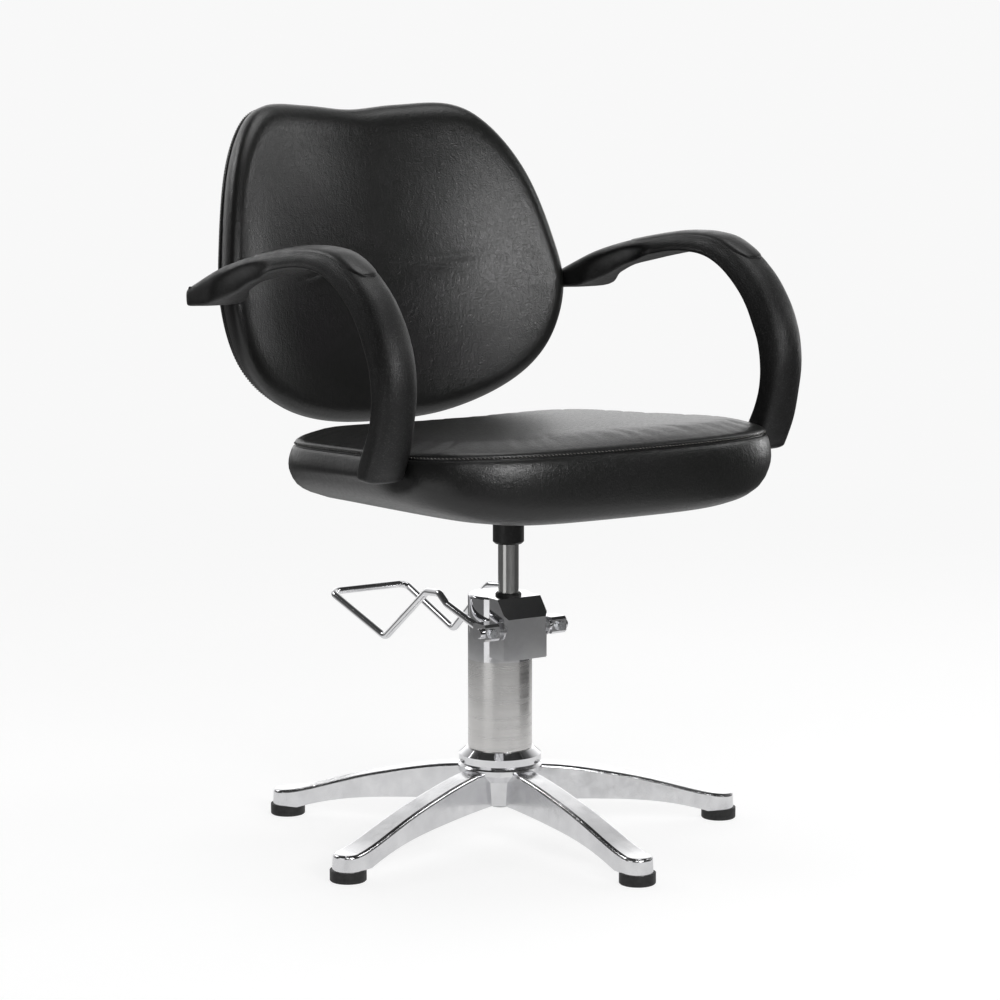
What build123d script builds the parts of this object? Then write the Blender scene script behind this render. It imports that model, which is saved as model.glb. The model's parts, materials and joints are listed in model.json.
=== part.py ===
from build123d import *
import math
import os

# Styling chair: a five-leg cast base, a pedal-pumped hydraulic column, and a padded
# seat and back carried between two loop arms.
# Frame: origin on the floor under the column's axis, +Z up, the sitter faces -Y.

os.makedirs("parts", exist_ok=True)

# ---- driving dimensions, mm ----
# star base
LEG_COUNT = 5
GLIDE_CIRCLE_R = 278.0
LEG_WIDTH = 38.0
LEG_WALL = 4.5
LEG_DRAFT = 3.0
GLIDE_R = 21.0
GLIDE_H = 13.0
GLIDE_SCREW_R = 3.1
HUB_R = 41.0
HUB_FLANGE_R = 50.0
HUB_BOTTOM = 42.0
HUB_FLOOR_BOTTOM = 52.0
HUB_FLOOR_TOP = 60.0
HUB_TOP = 88.0
HUB_STUD_R = 10.0
# column
TUBE_R = 38.2
TUBE_WALL = 2.5
COLLAR_R = 49.0
COLLAR_TOP = 106.0
COLLAR_RIM_TOP = 98.7
TANK_BASE_TOP = 72.0
HEAD_BOTTOM = 214.0
HEAD_TOP = 292.0
HEAD_SPIGOT = 8.0
HEAD_BOX_HALF_W = 30.5
HEAD_BOX_FRONT = -57.5
HEAD_BOX_BOTTOM = 221.0
HEAD_SLOPE_Z = 270.0
HEAD_SLOPE_Y = -40.0
CAVITY_FLOOR = 228.0
CAVITY_TOP = 281.0
CAVITY_FRONT_TOP = 268.0
# ram, on an axis set forward of the column's
ROD_Y = -17.8
ROD_R = 12.25
RAM_BORE_R = 14.95
RAM_TUBE_R = 17.2
PISTON_BOTTOM = 132.0
PISTON_H = 22.0
SOCKET_BOTTOM = 354.0
SOCKET_R = 18.5
RUN_FIT = 0.05
# pedal
SHAFT_Y = -47.5
SHAFT_Z = 256.0
SHAFT_R = 6.0
SHAFT_HALF_L = 62.0
BLOCK_INNER_X = 37.5
BLOCK_OUTER_X = 57.5
BLOCK_FRONT = -55.5
BLOCK_REAR = -29.0
BLOCK_BOTTOM = 246.5
BLOCK_TOP = 266.5
WIRE_R = 4.5
FORK_BOSS_R = 7.2
PLUNGER_Y = 16.0
PLUNGER_R = 6.0
PLUNGER_TOP = 250.7
PLUNGER_HEAD_BOTTOM = 236.0
BARREL_BOTTOM = 140.0
BARREL_SHOULDER = 196.0
# seat
SEAT_HALF_W = 238.5
SEAT_HALF_D = 228.0
SEAT_Y = -53.0
SEAT_BOTTOM = 409.0
SEAT_TOP = 499.0
SEAT_CROWN_R = 2300.0
SEAT_POWER = 4.2
SEAT_TAPER = 0.05
SEAT_TILT = math.radians(2.4)
BOARD_HALF_W = 205.0
BOARD_HALF_D = 178.0
BOARD_BOTTOM = 425.0
BOARD_T = 12.0
SEAT_PLATE_T = 5.0
TAB_X = 226.0
TAB_T = 6.0
# back
BACK_THROAT_Y = 254.3
BACK_THROAT_Z = 435.0
BACK_BOW_R = 1500.0
BACK_WRAP_R = 465.0
BACK_PAD_T = 46.0
BACK_BOARD_T = 10.0
BACK_SKIN_T = 6.0
BACK_BLOCK_X = 220.5
# arms
ARM_INNER_X = 242.5
ARM_OUTER_X = 290.5
ARM_EDGE_R = 6.0
PAD_DEPTH = 4.0
CORE_T = 5.0
CORE_W = 24.0
ARM_BOLT_R = 2.5
ARM_BOLT_HEAD_R = 4.2
FOOT_BOLTS = [(-169.5, 471.5), (-171.5, 481.5)]
REAR_BOLTS = [(224.0, 639.5), (224.0, 649.5)]
REAR_BOLT_REACH = 214.0
SPACER_R = 4.5


def keep(builder, name):
    """Label one finished piece and write its STEP file."""
    builder.part.label = name
    export_step(builder.part, f"parts/{name}.step")


def tube(radius_out, radius_in, bottom, top, x=0.0, y=0.0):
    """A plain upright ring, for adding to a builder."""
    foot = (Align.CENTER, Align.CENTER, Align.MIN)
    ring = Cylinder(radius_out, top - bottom, align=foot, mode=Mode.PRIVATE)
    if radius_in > 0:
        ring -= Cylinder(radius_in, top - bottom, align=foot, mode=Mode.PRIVATE)
    return Pos(x, y, bottom) * ring


def rod_along_x(radius, x_from, x_to, y, z):
    """A plain round bar lying along X."""
    foot = (Align.CENTER, Align.CENTER, Align.MIN)
    bar = Cylinder(radius, x_to - x_from, align=foot, mode=Mode.PRIVATE)
    return Pos(x_from, y, z) * Rot(0, 90, 0) * bar


def mirrored(solid):
    """The same piece on the other side of the chair."""
    return mirror(solid, about=Plane.YZ, mode=Mode.PRIVATE)


def superellipse_points(half_x, half_y, centre_y, power=3, taper=0.0, count=24):
    """Points round |x/a|^n + |(y-c)/b|^n = 1, for a closed spline, narrowed towards +Y."""
    points = []
    for step in range(count):
        angle = 2 * math.pi * step / count
        c, s = math.cos(angle), math.sin(angle)
        across = half_x * math.copysign(abs(c) ** (2 / power), c)
        along = math.copysign(abs(s) ** (2 / power), s)
        points.append((across * (1 - taper * along), centre_y + half_y * along))
    return points


def inset_points(points, distance):
    """Points moved off their own line by a distance, to its left."""
    moved = []
    for index, (u, v) in enumerate(points):
        before = points[max(index - 1, 0)]
        after = points[min(index + 1, len(points) - 1)]
        run, rise = after[0] - before[0], after[1] - before[1]
        length = math.hypot(run, rise)
        moved.append((u - distance * rise / length, v + distance * run / length))
    return moved


# ================= star base =================

# One leg along +X: its side view, drawn in the leg's own upright plane.
LEG_TOP_LINE = [(20, 85), (64, 82.5), (126, 71.5), (190, 56), (245, 39.5), (268, 34), (302, 33)]
LEG_BOTTOM_LINE = [
    (302, GLIDE_H), (258, GLIDE_H), (232, 21), (190, 30), (126, 37), (60, 41), (20, HUB_BOTTOM),
]

with BuildPart() as leg:
    with BuildSketch(Plane.XZ):
        with BuildLine():
            leg_top = Spline(*LEG_TOP_LINE)
            leg_tip = Line(leg_top @ 1, LEG_BOTTOM_LINE[0])
            leg_pad = Line(LEG_BOTTOM_LINE[0], LEG_BOTTOM_LINE[1])
            leg_under = Spline(*LEG_BOTTOM_LINE[1:])
            Line(leg_under @ 1, leg_top @ 0)
        make_face()
    extrude(amount=LEG_WIDTH, both=True)
    with BuildSketch(Plane.XY):
        with Locations((GLIDE_CIRCLE_R / 2, 0)):
            SlotCenterToCenter(GLIDE_CIRCLE_R, LEG_WIDTH)
    extrude(amount=100, taper=LEG_DRAFT, mode=Mode.INTERSECT)
    leg_top_face = leg.faces().sort_by(Axis.Z)[-1]
    leg_rims = leg_top_face.edges().filter_by(lambda edge: edge.center().X > 60)
    fillet(leg_rims, radius=4)

# The hollow under each leg, open to the floor, stopping short of the tip's boss.
with BuildPart() as leg_hollow:
    with BuildSketch(Plane.XZ):
        with BuildLine():
            hollow_top = Spline(*[(x, z - LEG_WALL - 1) for x, z in LEG_TOP_LINE[1:-2]])
            Polyline(hollow_top @ 1, (245, 0), (64, 0), hollow_top @ 0)
        make_face()
    extrude(amount=LEG_WIDTH / 2 - LEG_WALL - 1, both=True)

with BuildPart() as star_base:
    with BuildSketch(Plane.XZ):
        with BuildLine():
            Polyline(
                (0, HUB_BOTTOM), (HUB_R, HUB_BOTTOM), (HUB_R, 70), (HUB_FLANGE_R, 79),
                (HUB_FLANGE_R, HUB_TOP - 3), (HUB_FLANGE_R - 3, HUB_TOP), (0, HUB_TOP), (0, HUB_BOTTOM),
            )
        make_face()
    revolve(axis=Axis.Z)
    with PolarLocations(0, LEG_COUNT, start_angle=-90):
        add(leg.part)
    with PolarLocations(0, LEG_COUNT, start_angle=-90):
        add(leg_hollow.part, mode=Mode.SUBTRACT)
    # seat for the column's tube, stud hole, and the nut's pocket
    with Locations((0, 0, HUB_FLOOR_TOP)):
        Cylinder(TUBE_R + RUN_FIT, 60, align=(Align.CENTER, Align.CENTER, Align.MIN), mode=Mode.SUBTRACT)
    Cylinder(HUB_STUD_R + 0.2, 200, mode=Mode.SUBTRACT)
    Cylinder(24, HUB_FLOOR_BOTTOM, align=(Align.CENTER, Align.CENTER, Align.MIN), mode=Mode.SUBTRACT)
    with PolarLocations(GLIDE_CIRCLE_R, LEG_COUNT, start_angle=-90):
        Cylinder(GLIDE_SCREW_R + RUN_FIT, 2 * 28, mode=Mode.SUBTRACT)
keep(star_base, "star_base")

with BuildPart() as glides:
    with BuildSketch(Plane.XY):
        with PolarLocations(GLIDE_CIRCLE_R, LEG_COUNT, start_angle=-90):
            Circle(GLIDE_R)
    extrude(amount=GLIDE_H)
    chamfer(glides.edges().group_by(Axis.Z)[0], length=1.2)
    with PolarLocations(GLIDE_CIRCLE_R, LEG_COUNT, start_angle=-90):
        Cylinder(7, 2 * 6, mode=Mode.SUBTRACT)
        Cylinder(GLIDE_SCREW_R + RUN_FIT, 60, mode=Mode.SUBTRACT)
keep(glides, "glides")

with BuildPart() as glide_screws:
    with BuildSketch(Plane.XY.offset(2.5)):
        with PolarLocations(GLIDE_CIRCLE_R, LEG_COUNT, start_angle=-90):
            Circle(6.3)
    extrude(amount=3.5)
    with BuildSketch(Plane.XY.offset(6)):
        with PolarLocations(GLIDE_CIRCLE_R, LEG_COUNT, start_angle=-90):
            Circle(GLIDE_SCREW_R)
    extrude(amount=20)
keep(glide_screws, "glide_screws")

with BuildPart() as base_collar:
    with BuildSketch(Plane.XZ):
        with BuildLine():
            Polyline(
                (TUBE_R + RUN_FIT, HUB_TOP), (COLLAR_R - 2, HUB_TOP), (COLLAR_R, HUB_TOP + 2),
                (COLLAR_R, COLLAR_RIM_TOP), (TUBE_R + 2.5, COLLAR_TOP),
                (TUBE_R + RUN_FIT, COLLAR_TOP), (TUBE_R + RUN_FIT, HUB_TOP),
            )
        make_face()
    revolve(axis=Axis.Z)
keep(base_collar, "base_collar")

with BuildPart() as base_washer:
    with BuildSketch(Plane.XY.offset(HUB_FLOOR_BOTTOM - 3)):
        Circle(19)
        Circle(HUB_STUD_R + 0.2, mode=Mode.SUBTRACT)
    extrude(amount=3)
keep(base_washer, "base_washer")

with BuildPart() as base_nut:
    with BuildSketch(Plane.XY.offset(HUB_FLOOR_BOTTOM - 15)):
        RegularPolygon(15, 6, major_radius=False)
        Circle(HUB_STUD_R + RUN_FIT, mode=Mode.SUBTRACT)
    extrude(amount=12)
keep(base_nut, "base_nut")

# ================= column =================

with BuildPart() as outer_tube:
    with BuildSketch(Plane.XY.offset(HUB_FLOOR_TOP)):
        Circle(TUBE_R)
        Circle(TUBE_R - TUBE_WALL, mode=Mode.SUBTRACT)
    extrude(amount=HEAD_BOTTOM - HUB_FLOOR_TOP)
keep(outer_tube, "outer_tube")

with BuildPart() as tank_base:
    with BuildSketch(Plane.XY.offset(HUB_FLOOR_TOP)):
        Circle(TUBE_R - TUBE_WALL - RUN_FIT)
    extrude(amount=TANK_BASE_TOP - HUB_FLOOR_TOP)
    with BuildSketch(Plane.XY.offset(HUB_FLOOR_TOP)):
        Circle(HUB_STUD_R)
    extrude(amount=-27)
keep(tank_base, "tank_base")

with BuildPart() as ram_cylinder:
    with BuildSketch(Plane.XY.offset(TANK_BASE_TOP)):
        with Locations((0, ROD_Y)):
            Circle(RAM_TUBE_R)
            Circle(RAM_BORE_R, mode=Mode.SUBTRACT)
    extrude(amount=HEAD_BOTTOM - TANK_BASE_TOP)
keep(ram_cylinder, "ram_cylinder")

with BuildPart() as pump_head:
    with BuildSketch(Plane.XY.offset(HEAD_BOTTOM)):
        Circle(TUBE_R)
    extrude(amount=HEAD_TOP - HEAD_BOTTOM)
    fillet(pump_head.edges().group_by(Axis.Z)[-1], radius=3)
    # square nose, bevelled on its upright corners and sloped at the top
    with BuildSketch(Plane.YZ):
        with BuildLine():
            Polyline(
                (0, HEAD_BOX_BOTTOM), (HEAD_BOX_FRONT, HEAD_BOX_BOTTOM), (HEAD_BOX_FRONT, HEAD_SLOPE_Z),
                (HEAD_SLOPE_Y, HEAD_TOP), (0, HEAD_TOP), (0, HEAD_BOX_BOTTOM),
            )
        make_face()
    extrude(amount=HEAD_BOX_HALF_W, both=True)
    nose_corners = (
        pump_head.edges().filter_by(Axis.Z).filter_by(lambda edge: edge.center().Y < HEAD_BOX_FRONT + 1)
    )
    chamfer(nose_corners, length=4)
    with BuildSketch(Plane.XY.offset(HEAD_BOTTOM)):
        Circle(TUBE_R - TUBE_WALL - RUN_FIT)
    extrude(amount=-HEAD_SPIGOT)
    # chamber for the fork: a lower part under the sloping front, and a taller one round the rod
    with BuildSketch(Plane.XY.offset(CAVITY_FLOOR)):
        with Locations((0, -38.5)):
            Rectangle(50, 33)
    extrude(amount=CAVITY_FRONT_TOP - CAVITY_FLOOR, mode=Mode.SUBTRACT)
    with BuildSketch(Plane.XY.offset(CAVITY_FLOOR)):
        Rectangle(40, 54)
    extrude(amount=CAVITY_TOP - CAVITY_FLOOR, mode=Mode.SUBTRACT)
    # bores on the rod's axis: ram tube, guide, seal and top bush
    add(tube(RAM_TUBE_R + RUN_FIT, 0, 200, HEAD_BOTTOM, 0, ROD_Y), mode=Mode.SUBTRACT)
    add(tube(RAM_BORE_R, 0, 200, 222, 0, ROD_Y), mode=Mode.SUBTRACT)
    add(tube(RAM_TUBE_R - 0.2, 0, 222, CAVITY_FLOOR, 0, ROD_Y), mode=Mode.SUBTRACT)
    add(tube(ROD_R + 1.5, 0, CAVITY_FRONT_TOP - 1, CAVITY_TOP + 1, 0, ROD_Y), mode=Mode.SUBTRACT)
    add(tube(15.5, 0, CAVITY_TOP, HEAD_TOP + 1, 0, ROD_Y), mode=Mode.SUBTRACT)
    # bore for the pump barrel and for the pedal shaft's bushes
    add(tube(10.5, 0, 200, CAVITY_FLOOR, 0, PLUNGER_Y), mode=Mode.SUBTRACT)
    add(rod_along_x(8.5, -60, 60, SHAFT_Y, SHAFT_Z), mode=Mode.SUBTRACT)
keep(pump_head, "pump_head")

with BuildPart() as rod_guide:
    add(tube(RAM_BORE_R - 0.02, ROD_R + RUN_FIT, 206, 222, 0, ROD_Y))
keep(rod_guide, "rod_guide")

with BuildPart() as rod_seal:
    add(tube(RAM_TUBE_R - 0.25, ROD_R + RUN_FIT, 222, CAVITY_FLOOR, 0, ROD_Y))
keep(rod_seal, "rod_seal")

with BuildPart() as top_bush:
    add(tube(15.48, ROD_R + RUN_FIT, CAVITY_TOP, HEAD_TOP, 0, ROD_Y))
keep(top_bush, "top_bush")

with BuildPart() as rod_wiper:
    add(tube(15.5, ROD_R + RUN_FIT, HEAD_TOP, HEAD_TOP + 3.5, 0, ROD_Y))
    wiper_top = rod_wiper.edges().filter_by(GeomType.CIRCLE).group_by(Axis.Z)[-1]
    chamfer(wiper_top.sort_by(SortBy.RADIUS)[-1], length=1.5)
keep(rod_wiper, "rod_wiper")

with BuildPart() as pump_barrel:
    add(tube(10.48, PLUNGER_R + RUN_FIT, BARREL_BOTTOM, BARREL_SHOULDER, 0, PLUNGER_Y))
    add(tube(10.48, 9.2, BARREL_SHOULDER, 222, 0, PLUNGER_Y))
keep(pump_barrel, "pump_barrel")

with BuildPart() as valve_seat:
    add(tube(10.48, 2.5, BARREL_BOTTOM - 14, BARREL_BOTTOM, 0, PLUNGER_Y))
keep(valve_seat, "valve_seat")

CHECK_BALL_R = 4.0
ball_lift = math.sqrt(CHECK_BALL_R ** 2 - 2.5 ** 2)
with BuildPart() as check_ball:
    with Locations((0, PLUNGER_Y, BARREL_BOTTOM + ball_lift)):
        Sphere(CHECK_BALL_R)
keep(check_ball, "check_ball")

with BuildPart() as shaft_bushes:
    for side in (-1, 1):
        bush = rod_along_x(8.48, 25, 30.5, SHAFT_Y, SHAFT_Z) + rod_along_x(10.5, 30.5, 33, SHAFT_Y, SHAFT_Z)
        bush -= rod_along_x(SHAFT_R + RUN_FIT, 20, 40, SHAFT_Y, SHAFT_Z)
        add(bush if side > 0 else mirrored(bush))
keep(shaft_bushes, "shaft_bushes")

# ================= ram =================

with BuildPart() as ram_piston:
    add(tube(RAM_BORE_R - RUN_FIT, 8, PISTON_BOTTOM, PISTON_BOTTOM + PISTON_H, 0, ROD_Y))
    groove = tube(RAM_BORE_R + 1, 12.5, PISTON_BOTTOM + 8, PISTON_BOTTOM + 14, 0, ROD_Y)
    add(groove, mode=Mode.SUBTRACT)
keep(ram_piston, "ram_piston")

with BuildPart() as piston_seal:
    add(tube(RAM_BORE_R - RUN_FIT, 12.5, PISTON_BOTTOM + 8, PISTON_BOTTOM + 14, 0, ROD_Y))
keep(piston_seal, "piston_seal")

PLATE_TOP = BOARD_BOTTOM
ROD_TOP = PLATE_TOP - SEAT_PLATE_T - 2
with BuildPart() as piston_rod:
    rod_low = PISTON_BOTTOM + PISTON_H + 0.3
    add(tube(ROD_R, 0, rod_low, ROD_TOP, 0, ROD_Y))
    # turned-down end on which the piston turns
    add(tube(8 - RUN_FIT, 0, PISTON_BOTTOM - 4, rod_low, 0, ROD_Y))
keep(piston_rod, "piston_rod")

with BuildPart() as piston_clip:
    add(tube(12, 8, PISTON_BOTTOM - 2.3, PISTON_BOTTOM - 0.3, 0, ROD_Y))
keep(piston_clip, "piston_clip")

# ================= pump plunger =================

with BuildPart() as pump_plunger:
    add(tube(PLUNGER_R, 0, 180, PLUNGER_HEAD_BOTTOM, 0, PLUNGER_Y))
    add(tube(8, 0, PLUNGER_HEAD_BOTTOM, PLUNGER_TOP - 8, 0, PLUNGER_Y))
    # domed top, so that the fork rolls over it
    with Locations((0, PLUNGER_Y, PLUNGER_TOP - 8)):
        Sphere(8)
keep(pump_plunger, "pump_plunger")

with BuildPart() as plunger_spring:
    spring_wire_r = 0.7
    spring_low = BARREL_SHOULDER + 1
    spring_high = PLUNGER_HEAD_BOTTOM - 1
    with BuildLine(Plane.XY.offset(spring_low)) as coil:
        Helix(pitch=6, height=spring_high - spring_low, radius=7.5, center=(0, PLUNGER_Y, 0))
    with BuildSketch(Plane(origin=coil.line @ 0, z_dir=coil.line % 0)):
        Circle(spring_wire_r)
    sweep(is_frenet=True)
keep(plunger_spring, "plunger_spring")

# ================= pedal =================

with BuildPart() as pedal_shaft:
    add(rod_along_x(SHAFT_R, -SHAFT_HALF_L, SHAFT_HALF_L, SHAFT_Y, SHAFT_Z))
    chamfer(pedal_shaft.edges(), length=1)
    # cross holes for the clamp bolts
    with Locations((-48, -50, SHAFT_Z), (48, -50, SHAFT_Z)):
        Cylinder(3.05, 13, rotation=(90, 0, 0), mode=Mode.SUBTRACT)
keep(pedal_shaft, "pedal_shaft")

with BuildPart() as pump_fork:
    add(rod_along_x(FORK_BOSS_R, -18.6, 18.6, SHAFT_Y, SHAFT_Z))
    with BuildSketch(Plane.XY.offset(SHAFT_Z - 5)):
        with Locations((0, (SHAFT_Y + 22) / 2)):
            Rectangle(37.2, 22 - SHAFT_Y)
        with Locations((0, -16)):
            Rectangle(27.2, 52, mode=Mode.SUBTRACT)
    extrude(amount=10)
    add(rod_along_x(SHAFT_R, -30, 30, SHAFT_Y, SHAFT_Z), mode=Mode.SUBTRACT)
keep(pump_fork, "pump_fork")

# Centre line of the wire lever, from the right clamp round to the left one.
LEVER_HALF = [
    (49, -40.8, 255.3), (49, 40, 277), (48, 58, 287.5), (44.5, 92, 284.5), (50, 178, 216), (55.4, 299, 255.5),
]
LEVER_ROUTE = LEVER_HALF + [(-x, y, z) for x, y, z in reversed(LEVER_HALF)]
LEVER_HALF_RADII = [16, 12, 14, 12, 12]
with BuildPart() as pedal_lever:
    with BuildLine() as lever_line:
        FilletPolyline(*LEVER_ROUTE, radius=LEVER_HALF_RADII + LEVER_HALF_RADII[::-1])
    with BuildSketch(Plane(origin=lever_line.line @ 0, z_dir=lever_line.line % 0)):
        Circle(WIRE_R)
    sweep()
keep(pedal_lever, "pedal_lever")

with BuildPart() as clamp_blocks:
    with BuildSketch(Plane.XY.offset(BLOCK_BOTTOM)):
        for side in (-1, 1):
            with Locations((side * (BLOCK_INNER_X + BLOCK_OUTER_X) / 2, (BLOCK_FRONT + BLOCK_REAR) / 2)):
                Rectangle(BLOCK_OUTER_X - BLOCK_INNER_X, BLOCK_REAR - BLOCK_FRONT)
    extrude(amount=BLOCK_TOP - BLOCK_BOTTOM)
    chamfer(clamp_blocks.edges().filter_by(Axis.X), length=3)
    add(rod_along_x(SHAFT_R, -70, 70, SHAFT_Y, SHAFT_Z), mode=Mode.SUBTRACT)
    add(pedal_lever.part, mode=Mode.SUBTRACT)
    with Locations((-48, -55, SHAFT_Z), (48, -55, SHAFT_Z)):
        Cylinder(3.05, 22, rotation=(90, 0, 0), mode=Mode.SUBTRACT)
keep(clamp_blocks, "clamp_blocks")

with BuildPart() as clamp_bolts:
    with BuildSketch(Plane.XZ.offset(-BLOCK_FRONT)):
        with Locations((-48, SHAFT_Z), (48, SHAFT_Z)):
            RegularPolygon(5, 6, major_radius=False)
    extrude(amount=4)
    with BuildSketch(Plane.XZ.offset(-BLOCK_FRONT)):
        with Locations((-48, SHAFT_Z), (48, SHAFT_Z)):
            Circle(3)
    extrude(amount=-11.5)
keep(clamp_bolts, "clamp_bolts")

# ================= seat =================

with BuildPart() as seat_socket:
    add(tube(SOCKET_R, ROD_R + 0.02, SOCKET_BOTTOM, PLATE_TOP - SEAT_PLATE_T, 0, ROD_Y))
    socket_foot = seat_socket.edges().filter_by(GeomType.CIRCLE).group_by(Axis.Z)[0]
    chamfer(socket_foot.sort_by(SortBy.RADIUS)[-1], length=2.5)
keep(seat_socket, "seat_socket")

PLATE_BOLT_X = 70.0
PLATE_BOLT_Y = 55.0
with BuildPart() as seat_plate:
    with BuildSketch(Plane.XY.offset(PLATE_TOP - SEAT_PLATE_T)):
        with Locations((0, ROD_Y)):
            RectangleRounded(180, 150, 14)
            with GridLocations(2 * PLATE_BOLT_X, 2 * PLATE_BOLT_Y, 2, 2):
                Circle(4.2, mode=Mode.SUBTRACT)
    extrude(amount=SEAT_PLATE_T)
keep(seat_plate, "seat_plate")

with BuildPart() as seat_bolts:
    with BuildSketch(Plane.XY.offset(PLATE_TOP - SEAT_PLATE_T - 5)):
        with Locations((0, ROD_Y)):
            with GridLocations(2 * PLATE_BOLT_X, 2 * PLATE_BOLT_Y, 2, 2):
                RegularPolygon(6.5, 6, major_radius=False)
    extrude(amount=5)
    with BuildSketch(Plane.XY.offset(PLATE_TOP - SEAT_PLATE_T)):
        with Locations((0, ROD_Y)):
            with GridLocations(2 * PLATE_BOLT_X, 2 * PLATE_BOLT_Y, 2, 2):
                Circle(4)
    extrude(amount=SEAT_PLATE_T + BOARD_T - 1)
keep(seat_bolts, "seat_bolts")

with BuildPart() as seat_board:
    with BuildSketch(Plane.XY.offset(BOARD_BOTTOM)):
        with BuildLine():
            Spline(*superellipse_points(BOARD_HALF_W, BOARD_HALF_D, SEAT_Y), periodic=True)
        make_face()
        with Locations((0, ROD_Y)):
            with GridLocations(2 * PLATE_BOLT_X, 2 * PLATE_BOLT_Y, 2, 2):
                Circle(4.05, mode=Mode.SUBTRACT)
    extrude(amount=BOARD_T)
keep(seat_board, "seat_board")

with BuildPart() as seat_bottom_cloth:
    with BuildSketch(Plane.XY.offset(BOARD_BOTTOM - 1)):
        with BuildLine():
            Spline(*superellipse_points(BOARD_HALF_W - 1, BOARD_HALF_D - 1, SEAT_Y), periodic=True)
        make_face()
        with Locations((0, ROD_Y)):
            RectangleRounded(181, 151, 14.5, mode=Mode.SUBTRACT)
    extrude(amount=1)
keep(seat_bottom_cloth, "seat_bottom_cloth")

# Steel bar across the board, its ends turned up as tabs for the arm bolts.
BAR_Y = -173.0
BAR_W = 28.0
BAR_Z = BOARD_BOTTOM + BOARD_T
TAB_TOP = 486.5
with BuildPart() as arm_crossbar:
    with BuildSketch(Plane.XZ.offset(-BAR_Y)):
        with BuildLine():
            Polyline(
                (-TAB_X, TAB_TOP), (-TAB_X, BAR_Z), (TAB_X, BAR_Z), (TAB_X, TAB_TOP),
                (TAB_X - TAB_T, TAB_TOP), (TAB_X - TAB_T, BAR_Z + TAB_T),
                (-TAB_X + TAB_T, BAR_Z + TAB_T), (-TAB_X + TAB_T, TAB_TOP), (-TAB_X, TAB_TOP),
            )
        make_face()
    extrude(amount=BAR_W / 2, both=True)
    for bolt_y, bolt_z in FOOT_BOLTS:
        add(rod_along_x(ARM_BOLT_R + 0.05, -300, 300, bolt_y, bolt_z), mode=Mode.SUBTRACT)
keep(arm_crossbar, "arm_crossbar")

seat_lean_plane = Plane(
    origin=(0, SEAT_Y, 0), x_dir=(1, 0, 0), z_dir=(0, -math.cos(SEAT_TILT), math.sin(SEAT_TILT))
)
with BuildPart() as seat_cushion:
    with BuildSketch(Plane.XY.offset(SEAT_BOTTOM - 20)):
        with BuildLine():
            Spline(
                *superellipse_points(SEAT_HALF_W, SEAT_HALF_D, SEAT_Y, SEAT_POWER, SEAT_TAPER),
                periodic=True,
            )
        make_face()
    extrude(amount=SEAT_TOP - SEAT_BOTTOM + 40)
    # crowned top, leaning back
    crown_y = SEAT_Y - SEAT_CROWN_R * math.sin(SEAT_TILT)
    crown_z = SEAT_TOP - SEAT_CROWN_R * math.cos(SEAT_TILT)
    with Locations((0, crown_y, crown_z)):
        Sphere(SEAT_CROWN_R, mode=Mode.INTERSECT)
    # underside: nearly flat in the middle, rising to the sides, with the same lean
    with BuildSketch(seat_lean_plane):
        with BuildLine():
            under = Spline((0, SEAT_BOTTOM), (150, 413), (216, 428), (270, 451), tangents=((1, 0), (1, 0.5)))
            Polyline(under @ 1, (270, 340), (0, 340), under @ 0)
        make_face()
        mirror(about=Plane.YZ)
    extrude(amount=400, both=True, mode=Mode.SUBTRACT)
    # pocket for the board, and room for the bar, its tabs and the arm spacers
    with BuildSketch(Plane.XY.offset(BOARD_BOTTOM + BOARD_T)):
        with BuildLine():
            Spline(*superellipse_points(BOARD_HALF_W, BOARD_HALF_D, SEAT_Y), periodic=True)
        make_face()
    extrude(amount=-60, mode=Mode.SUBTRACT)
    add(arm_crossbar.part, mode=Mode.SUBTRACT)
    for bolt_y, bolt_z in FOOT_BOLTS:
        add(rod_along_x(SPACER_R, TAB_X - TAB_T - 14, 260, bolt_y, bolt_z), mode=Mode.SUBTRACT)
        add(rod_along_x(SPACER_R, -260, -TAB_X + TAB_T + 14, bolt_y, bolt_z), mode=Mode.SUBTRACT)
    with Locations((0, ROD_Y, PLATE_TOP + BOARD_T - 5)):
        with GridLocations(2 * PLATE_BOLT_X, 2 * PLATE_BOLT_Y, 2, 2):
            Cylinder(5, 20, mode=Mode.SUBTRACT)
keep(seat_cushion, "seat_cushion")

# ================= back =================

BACK_HALF_OUTLINE = [
    (0, 475), (90, 482.5), (163, 512), (213, 561), (236, 630), (228, 700), (205, 780), (171, 838),
    (134, 863.5), (65, 860), (0, 854),
]


def back_outline(inset):
    """Outline of the back, in X and Z, drawn in by the inset."""
    points = inset_points(BACK_HALF_OUTLINE, inset)
    points[0] = (0, points[0][1])
    points[-1] = (0, points[-1][1])
    with BuildSketch(Plane.XZ) as outline:
        with BuildLine():
            side = Spline(*points, tangents=((1, 0), (-1, 0)))
            mirror(side, about=Plane.YZ)
        make_face()
    return outline.sketch


def back_layer(front, rear, inset):
    """One curved layer of the back, between two depths behind its front surface."""
    centre_y = BACK_THROAT_Y - BACK_WRAP_R
    outline = back_outline(inset)
    with BuildPart() as layer:
        with BuildSketch(Plane.XY.offset(BACK_THROAT_Z)):
            with Locations((0, centre_y)):
                Circle(BACK_WRAP_R + rear)
                Circle(BACK_WRAP_R + front, mode=Mode.SUBTRACT)
            with Locations((0, centre_y)):
                Rectangle(560, 2000, align=(Align.CENTER, Align.MIN), mode=Mode.INTERSECT)
        revolve(
            axis=Axis((0, BACK_THROAT_Y + BACK_BOW_R, BACK_THROAT_Z), (1, 0, 0)),
            revolution_arc=-20,
        )
        extrude(outline, amount=600, both=True, mode=Mode.INTERSECT)
    return layer.part


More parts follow.
